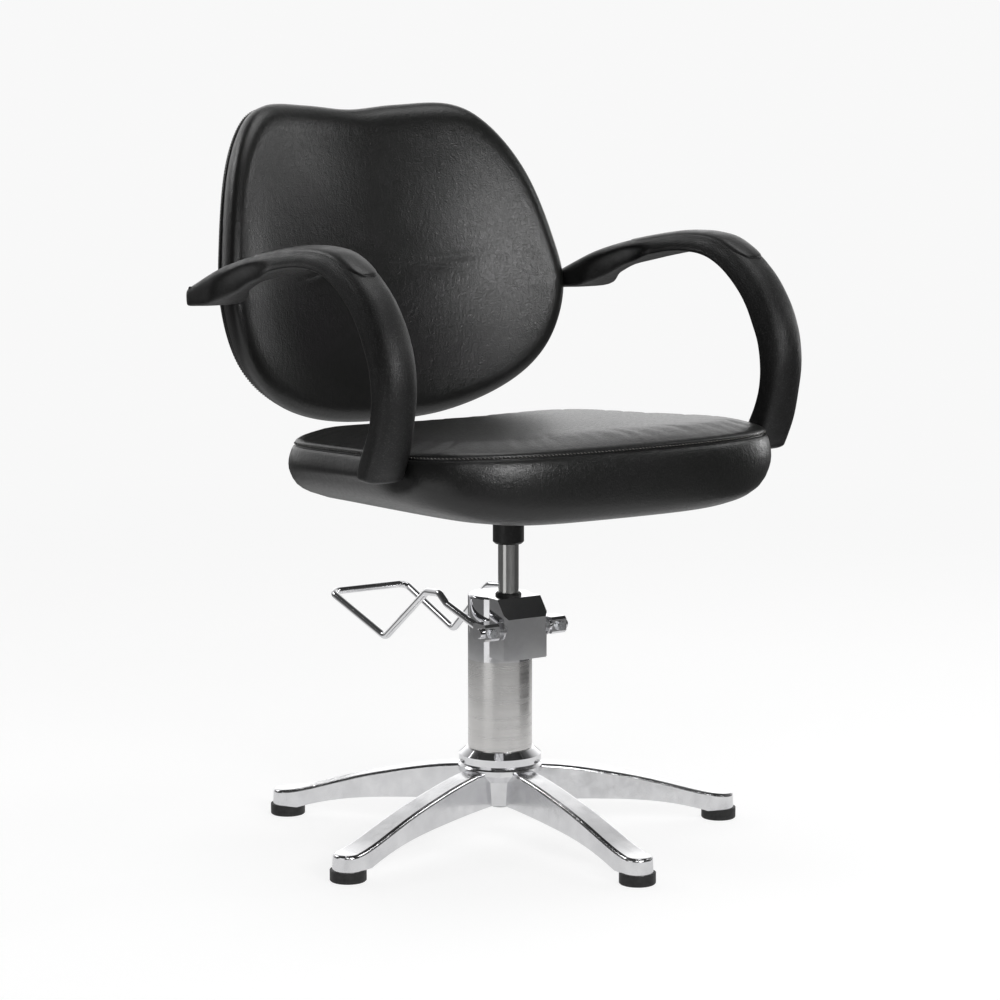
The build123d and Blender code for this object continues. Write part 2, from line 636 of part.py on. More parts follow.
pad_solid = back_layer(0, BACK_PAD_T, 0)
board_solid = back_layer(BACK_PAD_T - BACK_BOARD_T, BACK_PAD_T, 12)
rear_solid = back_layer(BACK_PAD_T, BACK_PAD_T + BACK_SKIN_T, 5)
with BuildPart() as back_board:
    add(board_solid)
keep(back_board, "back_board")

block_zone = Pos((196 + BACK_BLOCK_X) / 2, 240, 645) * Box(BACK_BLOCK_X - 196, 120, 46)
left_block = back_layer(4, BACK_PAD_T - BACK_BOARD_T, 0) & block_zone
with BuildPart() as back_side_blocks:
    add(left_block)
    add(mirrored(left_block))
    for bolt_y, bolt_z in REAR_BOLTS:
        add(rod_along_x(ARM_BOLT_R + 0.05, -300, -REAR_BOLT_REACH, bolt_y, bolt_z), mode=Mode.SUBTRACT)
        add(rod_along_x(ARM_BOLT_R + 0.05, REAR_BOLT_REACH, 300, bolt_y, bolt_z), mode=Mode.SUBTRACT)
keep(back_side_blocks, "back_side_blocks")

with BuildPart() as back_cushion:
    add(pad_solid)
    add(board_solid, mode=Mode.SUBTRACT)
    add(left_block, mode=Mode.SUBTRACT)
    add(mirrored(left_block), mode=Mode.SUBTRACT)
    for bolt_y, bolt_z in REAR_BOLTS:
        add(rod_along_x(SPACER_R, -300, -BACK_BLOCK_X, bolt_y, bolt_z), mode=Mode.SUBTRACT)
        add(rod_along_x(SPACER_R, BACK_BLOCK_X, 300, bolt_y, bolt_z), mode=Mode.SUBTRACT)
keep(back_cushion, "back_cushion")

with BuildPart() as back_rear_panel:
    add(rear_solid)
keep(back_rear_panel, "back_rear_panel")

# ================= arms =================

# Outer and inner edge of the arm loop, seen from the side (Y, Z), rear end first.
ARM_OUTER_LINE = [
    (231, 657), (152, 684.5), (80, 700), (5, 711), (-50, 714.5), (-97, 709.5), (-140, 690.5), (-172, 667),
    (-197, 637), (-212, 600), (-215, 568), (-208, 531), (-196, 498), (-182, 473),
]
ARM_INNER_LINE = [
    (-155, 476), (-159, 488), (-178, 516), (-185, 550), (-181, 590), (-160, 634), (-122, 668), (-93, 683),
    (-55, 690), (-20, 689.5), (49, 678.5), (118, 661), (148, 647),
]

with BuildPart() as arm_blank:
    with BuildSketch(Plane.YZ.offset(ARM_INNER_X)) as arm_side:
        with BuildLine():
            arm_outer = Spline(*ARM_OUTER_LINE)
            arm_toe = ThreePointArc(arm_outer @ 1, (-168, 464.5), ARM_INNER_LINE[0])
            arm_inner = Spline(*ARM_INNER_LINE)
            Polyline(arm_inner @ 1, (160, 637), (176, 635), (229, 630), arm_outer @ 0)
        make_face()
    extrude(amount=ARM_OUTER_X - ARM_INNER_X)

# Steel strap moulded inside the arm, half-way between its edges.
CORE_LINE = [
    (226, 646), (190, 655), (150, 667), (100, 681), (45, 692.5), (-10, 700), (-64, 702), (-97, 694.5), (-128, 681),
    (-155, 662), (-180, 631), (-194, 602), (-199, 568), (-197, 535), (-189, 510), (-179, 492),
]

with BuildPart() as left_core:
    with BuildSketch(Plane.YZ.offset((ARM_INNER_X + ARM_OUTER_X - CORE_W) / 2)):
        with BuildLine() as core_line:
            Spline(*CORE_LINE)
        trace(line_width=CORE_T)
        # eyes for the bolts
        with Locations((-171, 479)):
            RectangleRounded(13, 20, 4)
        with Locations((222, 645)):
            RectangleRounded(14, 20, 4)
    extrude(amount=CORE_W)

# Soft grip let into the top of the arm, in a slot-shaped recess.
PAD_LINE = ARM_OUTER_LINE[1:8]
with BuildPart() as right_pad:
    with BuildSketch(Plane.YZ.offset(ARM_INNER_X)):
        with BuildLine():
            pad_bed = Spline(*inset_points(PAD_LINE, PAD_DEPTH))
            pad_over = Spline(*inset_points(PAD_LINE, -PAD_DEPTH))
            Line(pad_bed @ 0, pad_over @ 0)
            Line(pad_bed @ 1, pad_over @ 1)
        make_face()
    extrude(amount=ARM_OUTER_X - ARM_INNER_X)
    with BuildSketch(Plane.XY.offset(600)):
        with Locations(((ARM_INNER_X + ARM_OUTER_X) / 2, -27)):
            SlotOverall(244, 37, rotation=90)
    extrude(amount=200, mode=Mode.INTERSECT)
right_pad_recess = right_pad.part
left_pad_solid = right_pad_recess & arm_blank.part

with BuildPart() as left_arm:
    add(arm_blank.part)
    fillet(left_arm.faces().filter_by(Axis.X).edges(), radius=ARM_EDGE_R)
    add(right_pad_recess, mode=Mode.SUBTRACT)
    add(left_core.part, mode=Mode.SUBTRACT)
    for bolt_y, bolt_z in FOOT_BOLTS + REAR_BOLTS:
        add(rod_along_x(ARM_BOLT_R + 0.2, 240, 300, bolt_y, bolt_z), mode=Mode.SUBTRACT)
        add(rod_along_x(ARM_BOLT_HEAD_R + 0.3, ARM_OUTER_X - 11, 300, bolt_y, bolt_z), mode=Mode.SUBTRACT)

with BuildPart() as left_core_drilled:
    add(left_core.part)
    for bolt_y, bolt_z in FOOT_BOLTS + REAR_BOLTS:
        add(rod_along_x(ARM_BOLT_R + 0.2, 240, 300, bolt_y, bolt_z), mode=Mode.SUBTRACT)

# +X is at the sitter's left hand
for hand, place in (("left", lambda solid: solid), ("right", mirrored)):
    for piece, label in (
        (left_arm.part, "arm"), (left_core_drilled.part, "arm_core"), (left_pad_solid, "grip_pad"),
    ):
        with BuildPart() as placed:
            add(place(piece))
        keep(placed, f"{label}_{hand}")

with BuildPart() as arm_bolts:
    bolt_tips = [(y, z, TAB_X - TAB_T) for y, z in FOOT_BOLTS]
    bolt_tips += [(y, z, REAR_BOLT_REACH) for y, z in REAR_BOLTS]
    for bolt_y, bolt_z, reach in bolt_tips:
        bolt = rod_along_x(ARM_BOLT_R, reach, ARM_OUTER_X - 11, bolt_y, bolt_z)
        bolt += rod_along_x(ARM_BOLT_HEAD_R, ARM_OUTER_X - 11, ARM_OUTER_X - 6, bolt_y, bolt_z)
        add(bolt)
        add(mirrored(bolt))
keep(arm_bolts, "arm_bolts")

with BuildPart() as arm_bolt_caps:
    for bolt_y, bolt_z in FOOT_BOLTS + REAR_BOLTS:
        cap = rod_along_x(ARM_BOLT_HEAD_R + 0.25, ARM_OUTER_X - 6, ARM_OUTER_X - 0.5, bolt_y, bolt_z)
        add(cap)
        add(mirrored(cap))
keep(arm_bolt_caps, "arm_bolt_caps")

with BuildPart() as arm_spacers:
    spacer_tips = [(y, z, TAB_X) for y, z in FOOT_BOLTS]
    spacer_tips += [(y, z, BACK_BLOCK_X) for y, z in REAR_BOLTS]
    for bolt_y, bolt_z, reach in spacer_tips:
        spacer = rod_along_x(SPACER_R - 0.05, reach, ARM_INNER_X, bolt_y, bolt_z)
        spacer -= rod_along_x(ARM_BOLT_R + 0.1, reach - 1, ARM_INNER_X + 1, bolt_y, bolt_z)
        add(spacer)
        add(mirrored(spacer))
keep(arm_spacers, "arm_spacers")
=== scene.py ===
import json
import math

import bpy
import numpy as np
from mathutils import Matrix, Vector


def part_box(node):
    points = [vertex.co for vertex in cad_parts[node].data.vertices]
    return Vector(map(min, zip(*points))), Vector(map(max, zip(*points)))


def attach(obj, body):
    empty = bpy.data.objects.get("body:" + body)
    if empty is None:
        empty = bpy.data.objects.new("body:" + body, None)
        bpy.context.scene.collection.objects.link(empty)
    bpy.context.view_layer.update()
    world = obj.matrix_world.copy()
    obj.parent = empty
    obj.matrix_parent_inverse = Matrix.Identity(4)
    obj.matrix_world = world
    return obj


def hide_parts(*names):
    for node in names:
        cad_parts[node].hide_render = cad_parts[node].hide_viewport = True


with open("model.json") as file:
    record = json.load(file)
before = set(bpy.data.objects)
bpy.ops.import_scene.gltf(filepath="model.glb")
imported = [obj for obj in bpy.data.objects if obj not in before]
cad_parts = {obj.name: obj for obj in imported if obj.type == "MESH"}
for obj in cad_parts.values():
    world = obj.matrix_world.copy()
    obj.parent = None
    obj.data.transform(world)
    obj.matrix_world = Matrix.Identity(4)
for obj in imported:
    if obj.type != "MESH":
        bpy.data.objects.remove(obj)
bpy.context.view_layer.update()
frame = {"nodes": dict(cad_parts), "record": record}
nodes = frame["nodes"]

MM = 0.001  # shapes below are worked out in millimetres and placed in metres


# ================================================================ materials


def ramp_node(tree, value, stops):
    """A colour ramp fed by a value; its stops are positions with RGB colours."""
    node = tree.nodes.new("ShaderNodeValToRGB")
    elements = node.color_ramp.elements
    while len(elements) < len(stops):
        elements.new(0.5)
    for element, (position, colour) in zip(elements, stops):
        element.position = position
        element.color = (*colour, 1)
    tree.links.new(value, node.inputs["Fac"])
    return node.outputs["Color"]


class Finish:
    """A node material: one Principled shader and the textures that feed it."""

    def __init__(self, name, base, metallic, roughness):
        self.material = bpy.data.materials.new(name)
        self.material.use_nodes = True
        self.tree = self.material.node_tree
        self.shader = self.tree.nodes["Principled BSDF"]
        self.set("Base Color", (*base, 1))
        self.set("Metallic", metallic)
        self.set("Roughness", roughness)
        self.place = self.tree.nodes.new("ShaderNodeTexCoord").outputs["Object"]
        self.height = None

    def set(self, socket, value):
        self.shader.inputs[socket].default_value = value

    def link(self, output, target):
        self.tree.links.new(output, target)

    def stretched(self, scale):
        """Object coordinates, scaled by axis."""
        mapping = self.tree.nodes.new("ShaderNodeMapping")
        mapping.inputs["Scale"].default_value = scale
        self.link(self.place, mapping.inputs["Vector"])
        return mapping.outputs["Vector"]

    def noise(self, scale, detail=4.0, stretch=None, distortion=0.0):
        node = self.tree.nodes.new("ShaderNodeTexNoise")
        node.inputs["Scale"].default_value = scale
        node.inputs["Detail"].default_value = detail
        node.inputs["Distortion"].default_value = distortion
        self.link(self.stretched(stretch) if stretch else self.place, node.inputs["Vector"])
        return node.outputs["Fac"]

    def cells(self, scale):
        node = self.tree.nodes.new("ShaderNodeTexVoronoi")
        node.inputs["Scale"].default_value = scale
        self.link(self.place, node.inputs["Vector"])
        return node.outputs["Distance"]

    def colour(self, value, stops):
        self.link(ramp_node(self.tree, value, stops), self.shader.inputs["Base Color"])

    def roughness(self, value, low, high):
        """Spreads the middle of a noise over a range of roughness."""
        node = self.tree.nodes.new("ShaderNodeMapRange")
        node.inputs["From Min"].default_value = 0.3
        node.inputs["From Max"].default_value = 0.7
        node.inputs["To Min"].default_value = low
        node.inputs["To Max"].default_value = high
        self.link(value, node.inputs["Value"])
        self.link(node.outputs["Result"], self.shader.inputs["Roughness"])

    def bump(self, value, strength, distance):
        """Adds a height on top of the ones before it."""
        node = self.tree.nodes.new("ShaderNodeBump")
        node.inputs["Strength"].default_value = strength
        node.inputs["Distance"].default_value = distance
        self.link(value, node.inputs["Height"])
        if self.height is not None:
            self.link(self.height, node.inputs["Normal"])
        self.height = node.outputs["Normal"]
        self.link(self.height, self.shader.inputs["Normal"])


def leatherette(name, wrinkle):
    """Black leatherette: fine crossed creases over a pebble grain, and a faint drift of tint."""
    finish = Finish(name, (0.014, 0.014, 0.015), 0.0, 0.42)
    tint = finish.noise(7.0, 5.0)
    finish.colour(tint, [
        (0.30, (0.0085, 0.0090, 0.0083)),
        (0.52, (0.0115, 0.0117, 0.0113)),
        (0.72, (0.0145, 0.0133, 0.0146)),
    ])
    finish.roughness(finish.noise(260.0, 5.0), 0.29, 0.38)
    finish.set("Specular IOR Level", 0.55)
    finish.bump(finish.noise(6.0, 2.0, (1.0, 1.0, 0.8), 0.6), 0.07, wrinkle)
    finish.bump(finish.noise(110.0, 7.0, (1.0, 0.6, 0.5), 1.6), 0.42, wrinkle * 0.32)
    finish.bump(finish.noise(230.0, 6.0, (0.5, 1.0, 1.0), 2.4), 0.50, wrinkle * 0.22)
    finish.bump(finish.cells(560.0), 0.30, 0.0003)
    finish.bump(finish.noise(1500.0, 2.0), 0.25, 0.00016)
    return finish.material


def thread(name):
    """Grey sewing thread."""
    finish = Finish(name, (0.16, 0.155, 0.145), 0.0, 0.55)
    finish.colour(finish.noise(900.0, 2.0), [(0.35, (0.10, 0.097, 0.092)), (0.7, (0.24, 0.235, 0.22))])
    finish.bump(finish.noise(2600.0, 2.0, (1.0, 1.0, 0.4)), 0.4, 0.0001)
    return finish.material


def skin_foam(name, grain, low, high):
    """Integral-skin foam: a speckled matte black moulding."""
    finish = Finish(name, (0.012, 0.012, 0.012), 0.0, 0.45)
    finish.colour(finish.noise(700.0, 3.0), [
        (0.38, (0.0070, 0.0070, 0.0070)),
        (0.58, (0.0120, 0.0120, 0.0122)),
        (0.70, (0.0420, 0.0420, 0.0420)),
    ])
    finish.roughness(finish.noise(60.0, 6.0), low, high)
    finish.set("Specular IOR Level", 0.45)
    finish.bump(finish.noise(22.0, 3.0), 0.10, 0.0012)
    finish.bump(finish.noise(780.0, 3.0), grain, 0.00045)
    finish.bump(finish.cells(1500.0), grain * 0.6, 0.0002)
    return finish.material


def mirror_plate(name):
    """Bright chrome plate, faintly uneven."""
    finish = Finish(name, (0.80, 0.80, 0.81), 1.0, 0.06)
    finish.colour(finish.noise(30.0, 6.0), [(0.3, (0.74, 0.74, 0.76)), (0.7, (0.86, 0.86, 0.87))])
    finish.roughness(finish.noise(140.0, 8.0), 0.035, 0.11)
    finish.bump(finish.noise(55.0, 2.0), 0.06, 0.0006)
    finish.bump(finish.noise(1800.0, 2.0), 0.05, 0.00005)
    return finish.material


def polished_casting(name):
    """Polished aluminium casting, with faint buffing marks and dull patches."""
    finish = Finish(name, (0.80, 0.80, 0.81), 1.0, 0.15)
    finish.colour(finish.noise(24.0, 7.0), [(0.3, (0.72, 0.72, 0.735)), (0.7, (0.87, 0.87, 0.88))])
    finish.roughness(finish.noise(70.0, 8.0, distortion=0.6), 0.10, 0.26)
    finish.bump(finish.noise(16.0, 2.0), 0.10, 0.0012)
    finish.bump(finish.noise(420.0, 5.0), 0.07, 0.00012)
    return finish.material


def satin_tube(name, base, low, high, turned):
    """Steel ground round its axis, so that its marks are level rings."""
    finish = Finish(name, base, 1.0, (low + high) / 2)
    light = tuple(min(1.0, c * 1.05) for c in base)
    dark = tuple(c * 0.93 for c in base)
    finish.colour(finish.noise(14.0, 6.0, (1.0, 1.0, turned)), [(0.25, dark), (0.75, light)])
    finish.roughness(finish.noise(9.0, 6.0, (1.0, 1.0, turned * 8)), low, high)
    finish.bump(finish.noise(8.0, 5.0, (1.0, 1.0, turned * 30)), 0.03, 0.00002)
    return finish.material


def machined(name, base, low, high):
    """Plain turned or plated metal with fine marks."""
    finish = Finish(name, base, 1.0, low)
    finish.colour(
        finish.noise(45.0, 6.0),
        [(0.3, tuple(c * 0.82 for c in base)), (0.7, tuple(min(1.0, c * 1.1) for c in base))],
    )
    finish.roughness(finish.noise(190.0, 6.0), low, high)
    finish.bump(finish.noise(700.0, 5.0), 0.12, 0.0001)
    return finish.material


def dull_black(name, base, low, high, grain, scale):
    """Black paint, rubber or plastic with a fine grain."""
    finish = Finish(name, base, 0.0, low)
    finish.colour(
        finish.noise(scale * 0.35, 4.0),
        [(0.35, tuple(c * 0.7 for c in base)), (0.7, tuple(c * 1.6 for c in base))],
    )
    finish.roughness(finish.noise(90.0, 5.0), low, high)
    finish.bump(finish.noise(scale, 3.0), grain, 0.0003)
    return finish.material


def dust_cloth(name):
    """Thin woven cover: two crossed sets of threads."""
    finish = Finish(name, (0.016, 0.016, 0.016), 0.0, 0.85)
    finish.colour(finish.noise(260.0, 4.0), [(0.3, (0.010, 0.010, 0.010)), (0.7, (0.026, 0.026, 0.026))])
    finish.bump(finish.noise(1100.0, 1.0, (1.0, 0.08, 1.0)), 0.5, 0.0002)
    finish.bump(finish.noise(1100.0, 1.0, (0.08, 1.0, 1.0)), 0.5, 0.0002)
    return finish.material


def plywood(name):
    """Pale plywood with its grain along Y."""
    finish = Finish(name, (0.55, 0.40, 0.25), 0.0, 0.6)
    finish.colour(
        finish.noise(14.0, 6.0, (1.0, 0.1, 6.0), 0.8),
        [(0.3, (0.38, 0.25, 0.14)), (0.55, (0.56, 0.41, 0.26)), (0.75, (0.68, 0.53, 0.36))],
    )
    finish.roughness(finish.noise(60.0, 5.0), 0.5, 0.72)
    finish.bump(finish.noise(160.0, 5.0, (1.0, 0.1, 4.0)), 0.25, 0.0003)
    return finish.material


MATERIALS = {
    "black_leather": leatherette("black_leather", 0.0022),
    "under_cloth": dust_cloth("under_cloth"),
    "plywood": plywood("plywood"),
    "arm_foam": skin_foam("arm_foam", 0.75, 0.36, 0.50),
    "grip_foam": skin_foam("grip_foam", 0.20, 0.32, 0.44),
    "base_aluminium": polished_casting("base_aluminium"),
    "chrome": mirror_plate("chrome"),
    "tube_steel": satin_tube("tube_steel", (0.70, 0.69, 0.68), 0.20, 0.30, 3.0),
    "rod_steel": satin_tube("rod_steel", (0.56, 0.56, 0.55), 0.12, 0.20, 2.0),
    "machined_steel": machined("machined_steel", (0.50, 0.50, 0.51), 0.25, 0.42),
    "zinc_steel": machined("zinc_steel", (0.60, 0.61, 0.63), 0.20, 0.38),
    "black_steel": dull_black("black_steel", (0.010, 0.010, 0.010), 0.34, 0.5, 0.20, 900.0),
    "rubber": dull_black("rubber", (0.011, 0.011, 0.011), 0.48, 0.68, 0.30, 700.0),
    "bronze": machined("bronze", (0.60, 0.42, 0.22), 0.35, 0.5),
    "black_plastic": dull_black("black_plastic", (0.012, 0.012, 0.012), 0.38, 0.52, 0.25, 1300.0),
}
THREAD = thread("thread")

for subpart in frame["record"]["subparts"]:
    cad_mesh = nodes[subpart["node"]].data
    cad_mesh.materials.clear()
    cad_mesh.materials.append(MATERIALS[subpart["material_slot"]])
# The photo shows no metal between arms and cushions, so the spacers there are finished black.
nodes["arm_spacers"].data.materials.clear()
nodes["arm_spacers"].data.materials.append(MATERIALS["black_steel"])


# ================================================================ mesh helpers


def piece(name, points, faces, slot_name, body="seat", material=None, sharp=None):
    """A smooth mesh piece from points in millimetres, riding on a body."""
    mesh = bpy.data.meshes.new(name)
    mesh.from_pydata([tuple(point) for point in np.asarray(points) * MM], [], faces)
    mesh.validate()
    mesh.polygons.foreach_set("use_smooth", [True] * len(mesh.polygons))
    if sharp is not None:
        mesh.set_sharp_from_angle(angle=math.radians(sharp))
    mesh.materials.append(material or MATERIALS[slot_name])
    made = bpy.data.objects.new(name, mesh)
    bpy.context.scene.collection.objects.link(made)
    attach(made, body)
    return made


def skinned_rings(rings, first_tip, last_tip):
    """Points and faces of a skin over closed rings of equal size, closed by a tip at each end."""
    count = len(rings[0])
    points = np.vstack([*rings, first_tip, last_tip])
    faces = []
    for ring in range(len(rings) - 1):
        low, high = ring * count, (ring + 1) * count
        for step in range(count):
            after = (step + 1) % count
            faces.append((low + step, low + after, high + after, high + step))
    first, last = len(points) - 2, len(points) - 1
    faces += [((step + 1) % count, step, first) for step in range(count)]
    base = (len(rings) - 1) * count
    faces += [(base + step, base + (step + 1) % count, last) for step in range(count)]
    return points, faces


def run_along(points):
    """The length of a line up to each of its points."""
    return np.concatenate([[0], np.cumsum(np.linalg.norm(np.diff(points, axis=0), axis=1))])


def evenly(points, pitch):
    """Points at an even pitch round a closed line, with their directions along it."""
    closed = np.vstack([points, points[:1]])
    run = run_along(closed)
    count = int(run[-1] / pitch)
    at = np.arange(count) * run[-1] / count
    places = np.stack([np.interp(at, run, closed[:, axis]) for axis in range(3)], axis=1)
    ahead = np.roll(places, -1, axis=0) - np.roll(places, 1, axis=0)
    return places, ahead / np.linalg.norm(ahead, axis=1)[:, None]


def outward_normals(x, y):
    """Unit directions that point out of a closed plane line."""
    dx, dy = np.roll(x, -1) - np.roll(x, 1), np.roll(y, -1) - np.roll(y, 1)
    length = np.hypot(dx, dy)
    return dy / length, -dx / length


STITCH_SIDES = 6
# Along a stitch, as a share of its length, and its girth there, as a share of the thread's radius.
STITCH_PROFILE = ((-0.5, 0.35), (-0.3, 0.9), (0.0, 1.0), (0.3, 0.9), (0.5, 0.35))
STITCH_RISE = 0.35
STITCH_LOOK = 3.0


def stitches(name, line, outward, length, radius, pitch, slant):
    """A row of short slanted stitches lying on a closed seam line, facing a line outside it."""
    sides = STITCH_SIDES
    places, along = evenly(line, pitch)
    out_line, _ = evenly(line + outward * STITCH_LOOK, pitch)
    count = min(len(places), len(out_line))
    points, faces = [], []
    for index in range(count):
        nearest = out_line[np.argmin(np.linalg.norm(out_line - places[index], axis=1))]
        up = nearest - places[index]
        up -= along[index] * up.dot(along[index])
        up /= np.linalg.norm(up) + 1e-9
        across = np.cross(along[index], up)
        heading = along[index] * math.cos(slant) + across * math.sin(slant)
        beside = np.cross(heading, up)
        start = len(points)
        for reach, girth in STITCH_PROFILE:
            lift = up * radius * (STITCH_RISE - reach * reach)
            middle = places[index] + heading * reach * length + lift
            for side in range(sides):
                angle = 2 * math.pi * side / sides
                points.append(middle + (beside * math.cos(angle) + up * math.sin(angle)) * radius * girth)
        for ring in range(len(STITCH_PROFILE) - 1):
            for side in range(sides):
                low, after = start + ring * sides, (side + 1) % sides
                faces.append((low + side, low + after, low + sides + after, low + sides + side))
        faces.append(tuple(start + side for side in reversed(range(sides))))
        last = start + (len(STITCH_PROFILE) - 1) * sides
        faces.append(tuple(last + side for side in range(sides)))
    piece(name, points, faces, "black_leather", material=THREAD)


def ripple(count, seed, waves):
    """A smooth, repeatable wander round a closed ring, from -1 to 1."""
    draw = np.random.default_rng(seed)
    angle = np.linspace(0, 2 * math.pi, count, endpoint=False)
    total = np.zeros(count)
    for wave in waves:
        total += np.sin(wave * angle + draw.uniform(0, 2 * math.pi)) * draw.uniform(0.5, 1.0)
    return total / np.abs(total).max()


def wandering(index, seam_ring, seam_reach, pucker, swell):
    """How far a ring strays outward: short puckers beside the seam, slow swells away from it."""
    near_seam = math.exp(-(((index - seam_ring) / seam_reach) ** 2))
    return pucker * near_seam * (index != seam_ring) + swell * (1 - near_seam)


CLOTH_FRAMES = 20


def puff(cushion, held, pressure, most, slack):
    """Swells the free part of a cover by a cloth simulation.

    The cover is larger than its filling by the slack, and no point moves further than most.
    """
    scene = bpy.context.scene
    group = cushion.vertex_groups.new(name="held")
    for index, weight in enumerate(held):
        if weight > 0:
            group.add([index], float(weight), "REPLACE")
    start = np.array([vertex.co for vertex in cushion.data.vertices])
    cloth = cushion.modifiers.new("cloth", "CLOTH")
    cloth.settings.quality = 6
    cloth.settings.mass = 0.3
    cloth.settings.tension_stiffness = 20
    cloth.settings.compression_stiffness = 20
    cloth.settings.shear_stiffness = 8
    cloth.settings.bending_stiffness = 0.6
    cloth.settings.shrink_min = -slack
    cloth.settings.use_pressure = True
    cloth.settings.uniform_pressure_force = pressure
    cloth.settings.vertex_group_mass = "held"
    cloth.settings.effector_weights.gravity = 0
    cloth.collision_settings.use_collision = False
    cloth.collision_settings.use_self_collision = False
    cloth.point_cache.frame_start = 1
    cloth.point_cache.frame_end = CLOTH_FRAMES
    for number in range(1, CLOTH_FRAMES + 1):
        scene.frame_set(number)
    swollen = cushion.evaluated_get(bpy.context.evaluated_depsgraph_get())
    moved = np.array([vertex.co for vertex in swollen.data.vertices]) - start
    reach = np.linalg.norm(moved, axis=1)[:, None] + 1e-12
    moved *= np.tanh(reach / most) * most / reach
    cushion.modifiers.clear()
    scene.frame_set(1)
    cushion.data.vertices.foreach_set("co", (start + moved).ravel())
    cushion.data.update()


# ================================================================ seat cushion

# The outline in plan is half of one superellipse in front and half of another at the rear.
SEAT_HALF_W = 246.0
SEAT_FRONT_D = 232.0
SEAT_REAR_D = 223.6
SEAT_Y = -49.2
SEAT_FRONT_POWER = 3.5
SEAT_REAR_POWER = 5.0
SEAT_TAPER = 0.08
SEAT_POINTS = 240
SEAT_TOP_LEAN = -12.9
SEAT_BOTTOM_LEAN = -6.5
ARM_INNER_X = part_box("arm_left")[0].x / MM
ARM_FOOT_Y = -171.0
FOOT_DENT_REACH = 34.0
FOOT_DENT_GAP = 0.8


def seat_plan(inset):
    """The seat's outline in plan, drawn in by the inset, with its outward directions."""
    # the small turn keeps every point off the axes, where a sign is zero
    angle = np.linspace(0, 2 * math.pi, SEAT_POINTS, endpoint=False) + 1e-4
    c, s = np.cos(angle), np.sin(angle)
    power = np.where(s < 0, SEAT_FRONT_POWER, SEAT_REAR_POWER)
    half_d = np.where(s < 0, SEAT_FRONT_D, SEAT_REAR_D)
    along = np.sign(s) * np.abs(s) ** (2 / power)
    x = SEAT_HALF_W * np.sign(c) * np.abs(c) ** (2 / power) * (1 - SEAT_TAPER * along)
    y = SEAT_Y + half_d * along
    # even spacing round the outline
    loop = np.stack([x, y, np.zeros_like(x)], axis=1)
    fine, _ = evenly(loop, np.sum(np.linalg.norm(np.diff(loop, axis=0), axis=1)) / (SEAT_POINTS + 0.5))
    x, y = fine[:SEAT_POINTS, 0], fine[:SEAT_POINTS, 1]
    out_x, out_y = outward_normals(x, y)
    x, y = x - inset * out_x, y - inset * out_y
    # the cover gives way where the foot of each arm presses on it
    press = np.exp(-(((y - ARM_FOOT_Y) / FOOT_DENT_REACH) ** 4))
    limit = ARM_INNER_X - FOOT_DENT_GAP
    x = np.where(np.abs(x) > limit, x + press * (np.sign(x) * limit - x), x)
    return x, y, out_x, out_y


# Side view of the cover, from underneath, round the side and seam, to the top:
# inset, height, share of the sides' rise, and how far it leans with the top.
SEAT_SECTION = [
    (70, 404.0, 1.0, 0.0), (45, 405.5, 1.0, 0.0), (26, 408.4, 1.0, 0.0), (17, 411.0, 1.0, 0.0),
    (10, 415.0, 1.0, 0.05), (5, 421.0, 1.0, 0.1), (2.0, 429.0, 0.9, 0.2), (0.5, 439.0, 0.6, 0.35),
    (0.0, 450.0, 0.3, 0.5), (0.4, 459.0, 0.12, 0.7), (1.6, 467.0, 0.0, 0.85), (3.6, 473.5, 0.0, 1.0),
    (5.4, 477.0, 0.0, 1.0), (6.9, 478.6, 0.0, 1.0), (8.6, 478.3, 0.0, 1.0), (8.4, 479.6, 0.0, 1.0),
    (7.6, 481.0, 0.0, 1.0), (7.9, 483.0, 0.0, 1.0), (9.8, 485.4, 0.0, 1.0), (13.5, 488.0, 0.0, 1.0),
    (19, 490.6, 0.0, 1.0), (27, 493.0, 0.0, 1.0), (38, 495.2, 0.0, 1.0), (50, 496.5, 0.0, 1.0),
]
SEAM_RING = 14
FREE_RING = SEAM_RING + 5
STITCH_RING = SEAM_RING + 2
STITCH_UPWARD = 120.0  # beside the seam's reach from the middle, this sets how far stitches face up
SEAT_STITCH_PROUD = 0.3
PANEL_SHARES = (0.88, 0.76, 0.64, 0.52, 0.40, 0.29, 0.19, 0.10)
PANEL_Z = 496.5
PANEL_CROWN = 2.2
PANEL_TIP_Z = 498.8
PANEL_DISH = 2.4
SIDE_RISE = 29.0
SEAT_SEAM_REACH = 2.2
SEAT_PUCKER, SEAT_PUCKER_WAVES = 0.35, (150, 171, 133, 97)
SEAT_SWELL, SEAT_SWELL_WAVES = 0.7, (3, 5, 8, 13)


def seat_height(x, y, height, rise, lean):
    """Height of a place on the cover, with the rise of its sides and the lean to the rear."""
    across = (np.abs(x) / SEAT_HALF_W) ** 2
    back = (y - SEAT_Y) / SEAT_FRONT_D
    return (
        height + SIDE_RISE * rise * across ** 2 + lean * (PANEL_DISH * across + SEAT_TOP_LEAN * back)
        + (1 - lean) * SEAT_BOTTOM_LEAN * back
    )


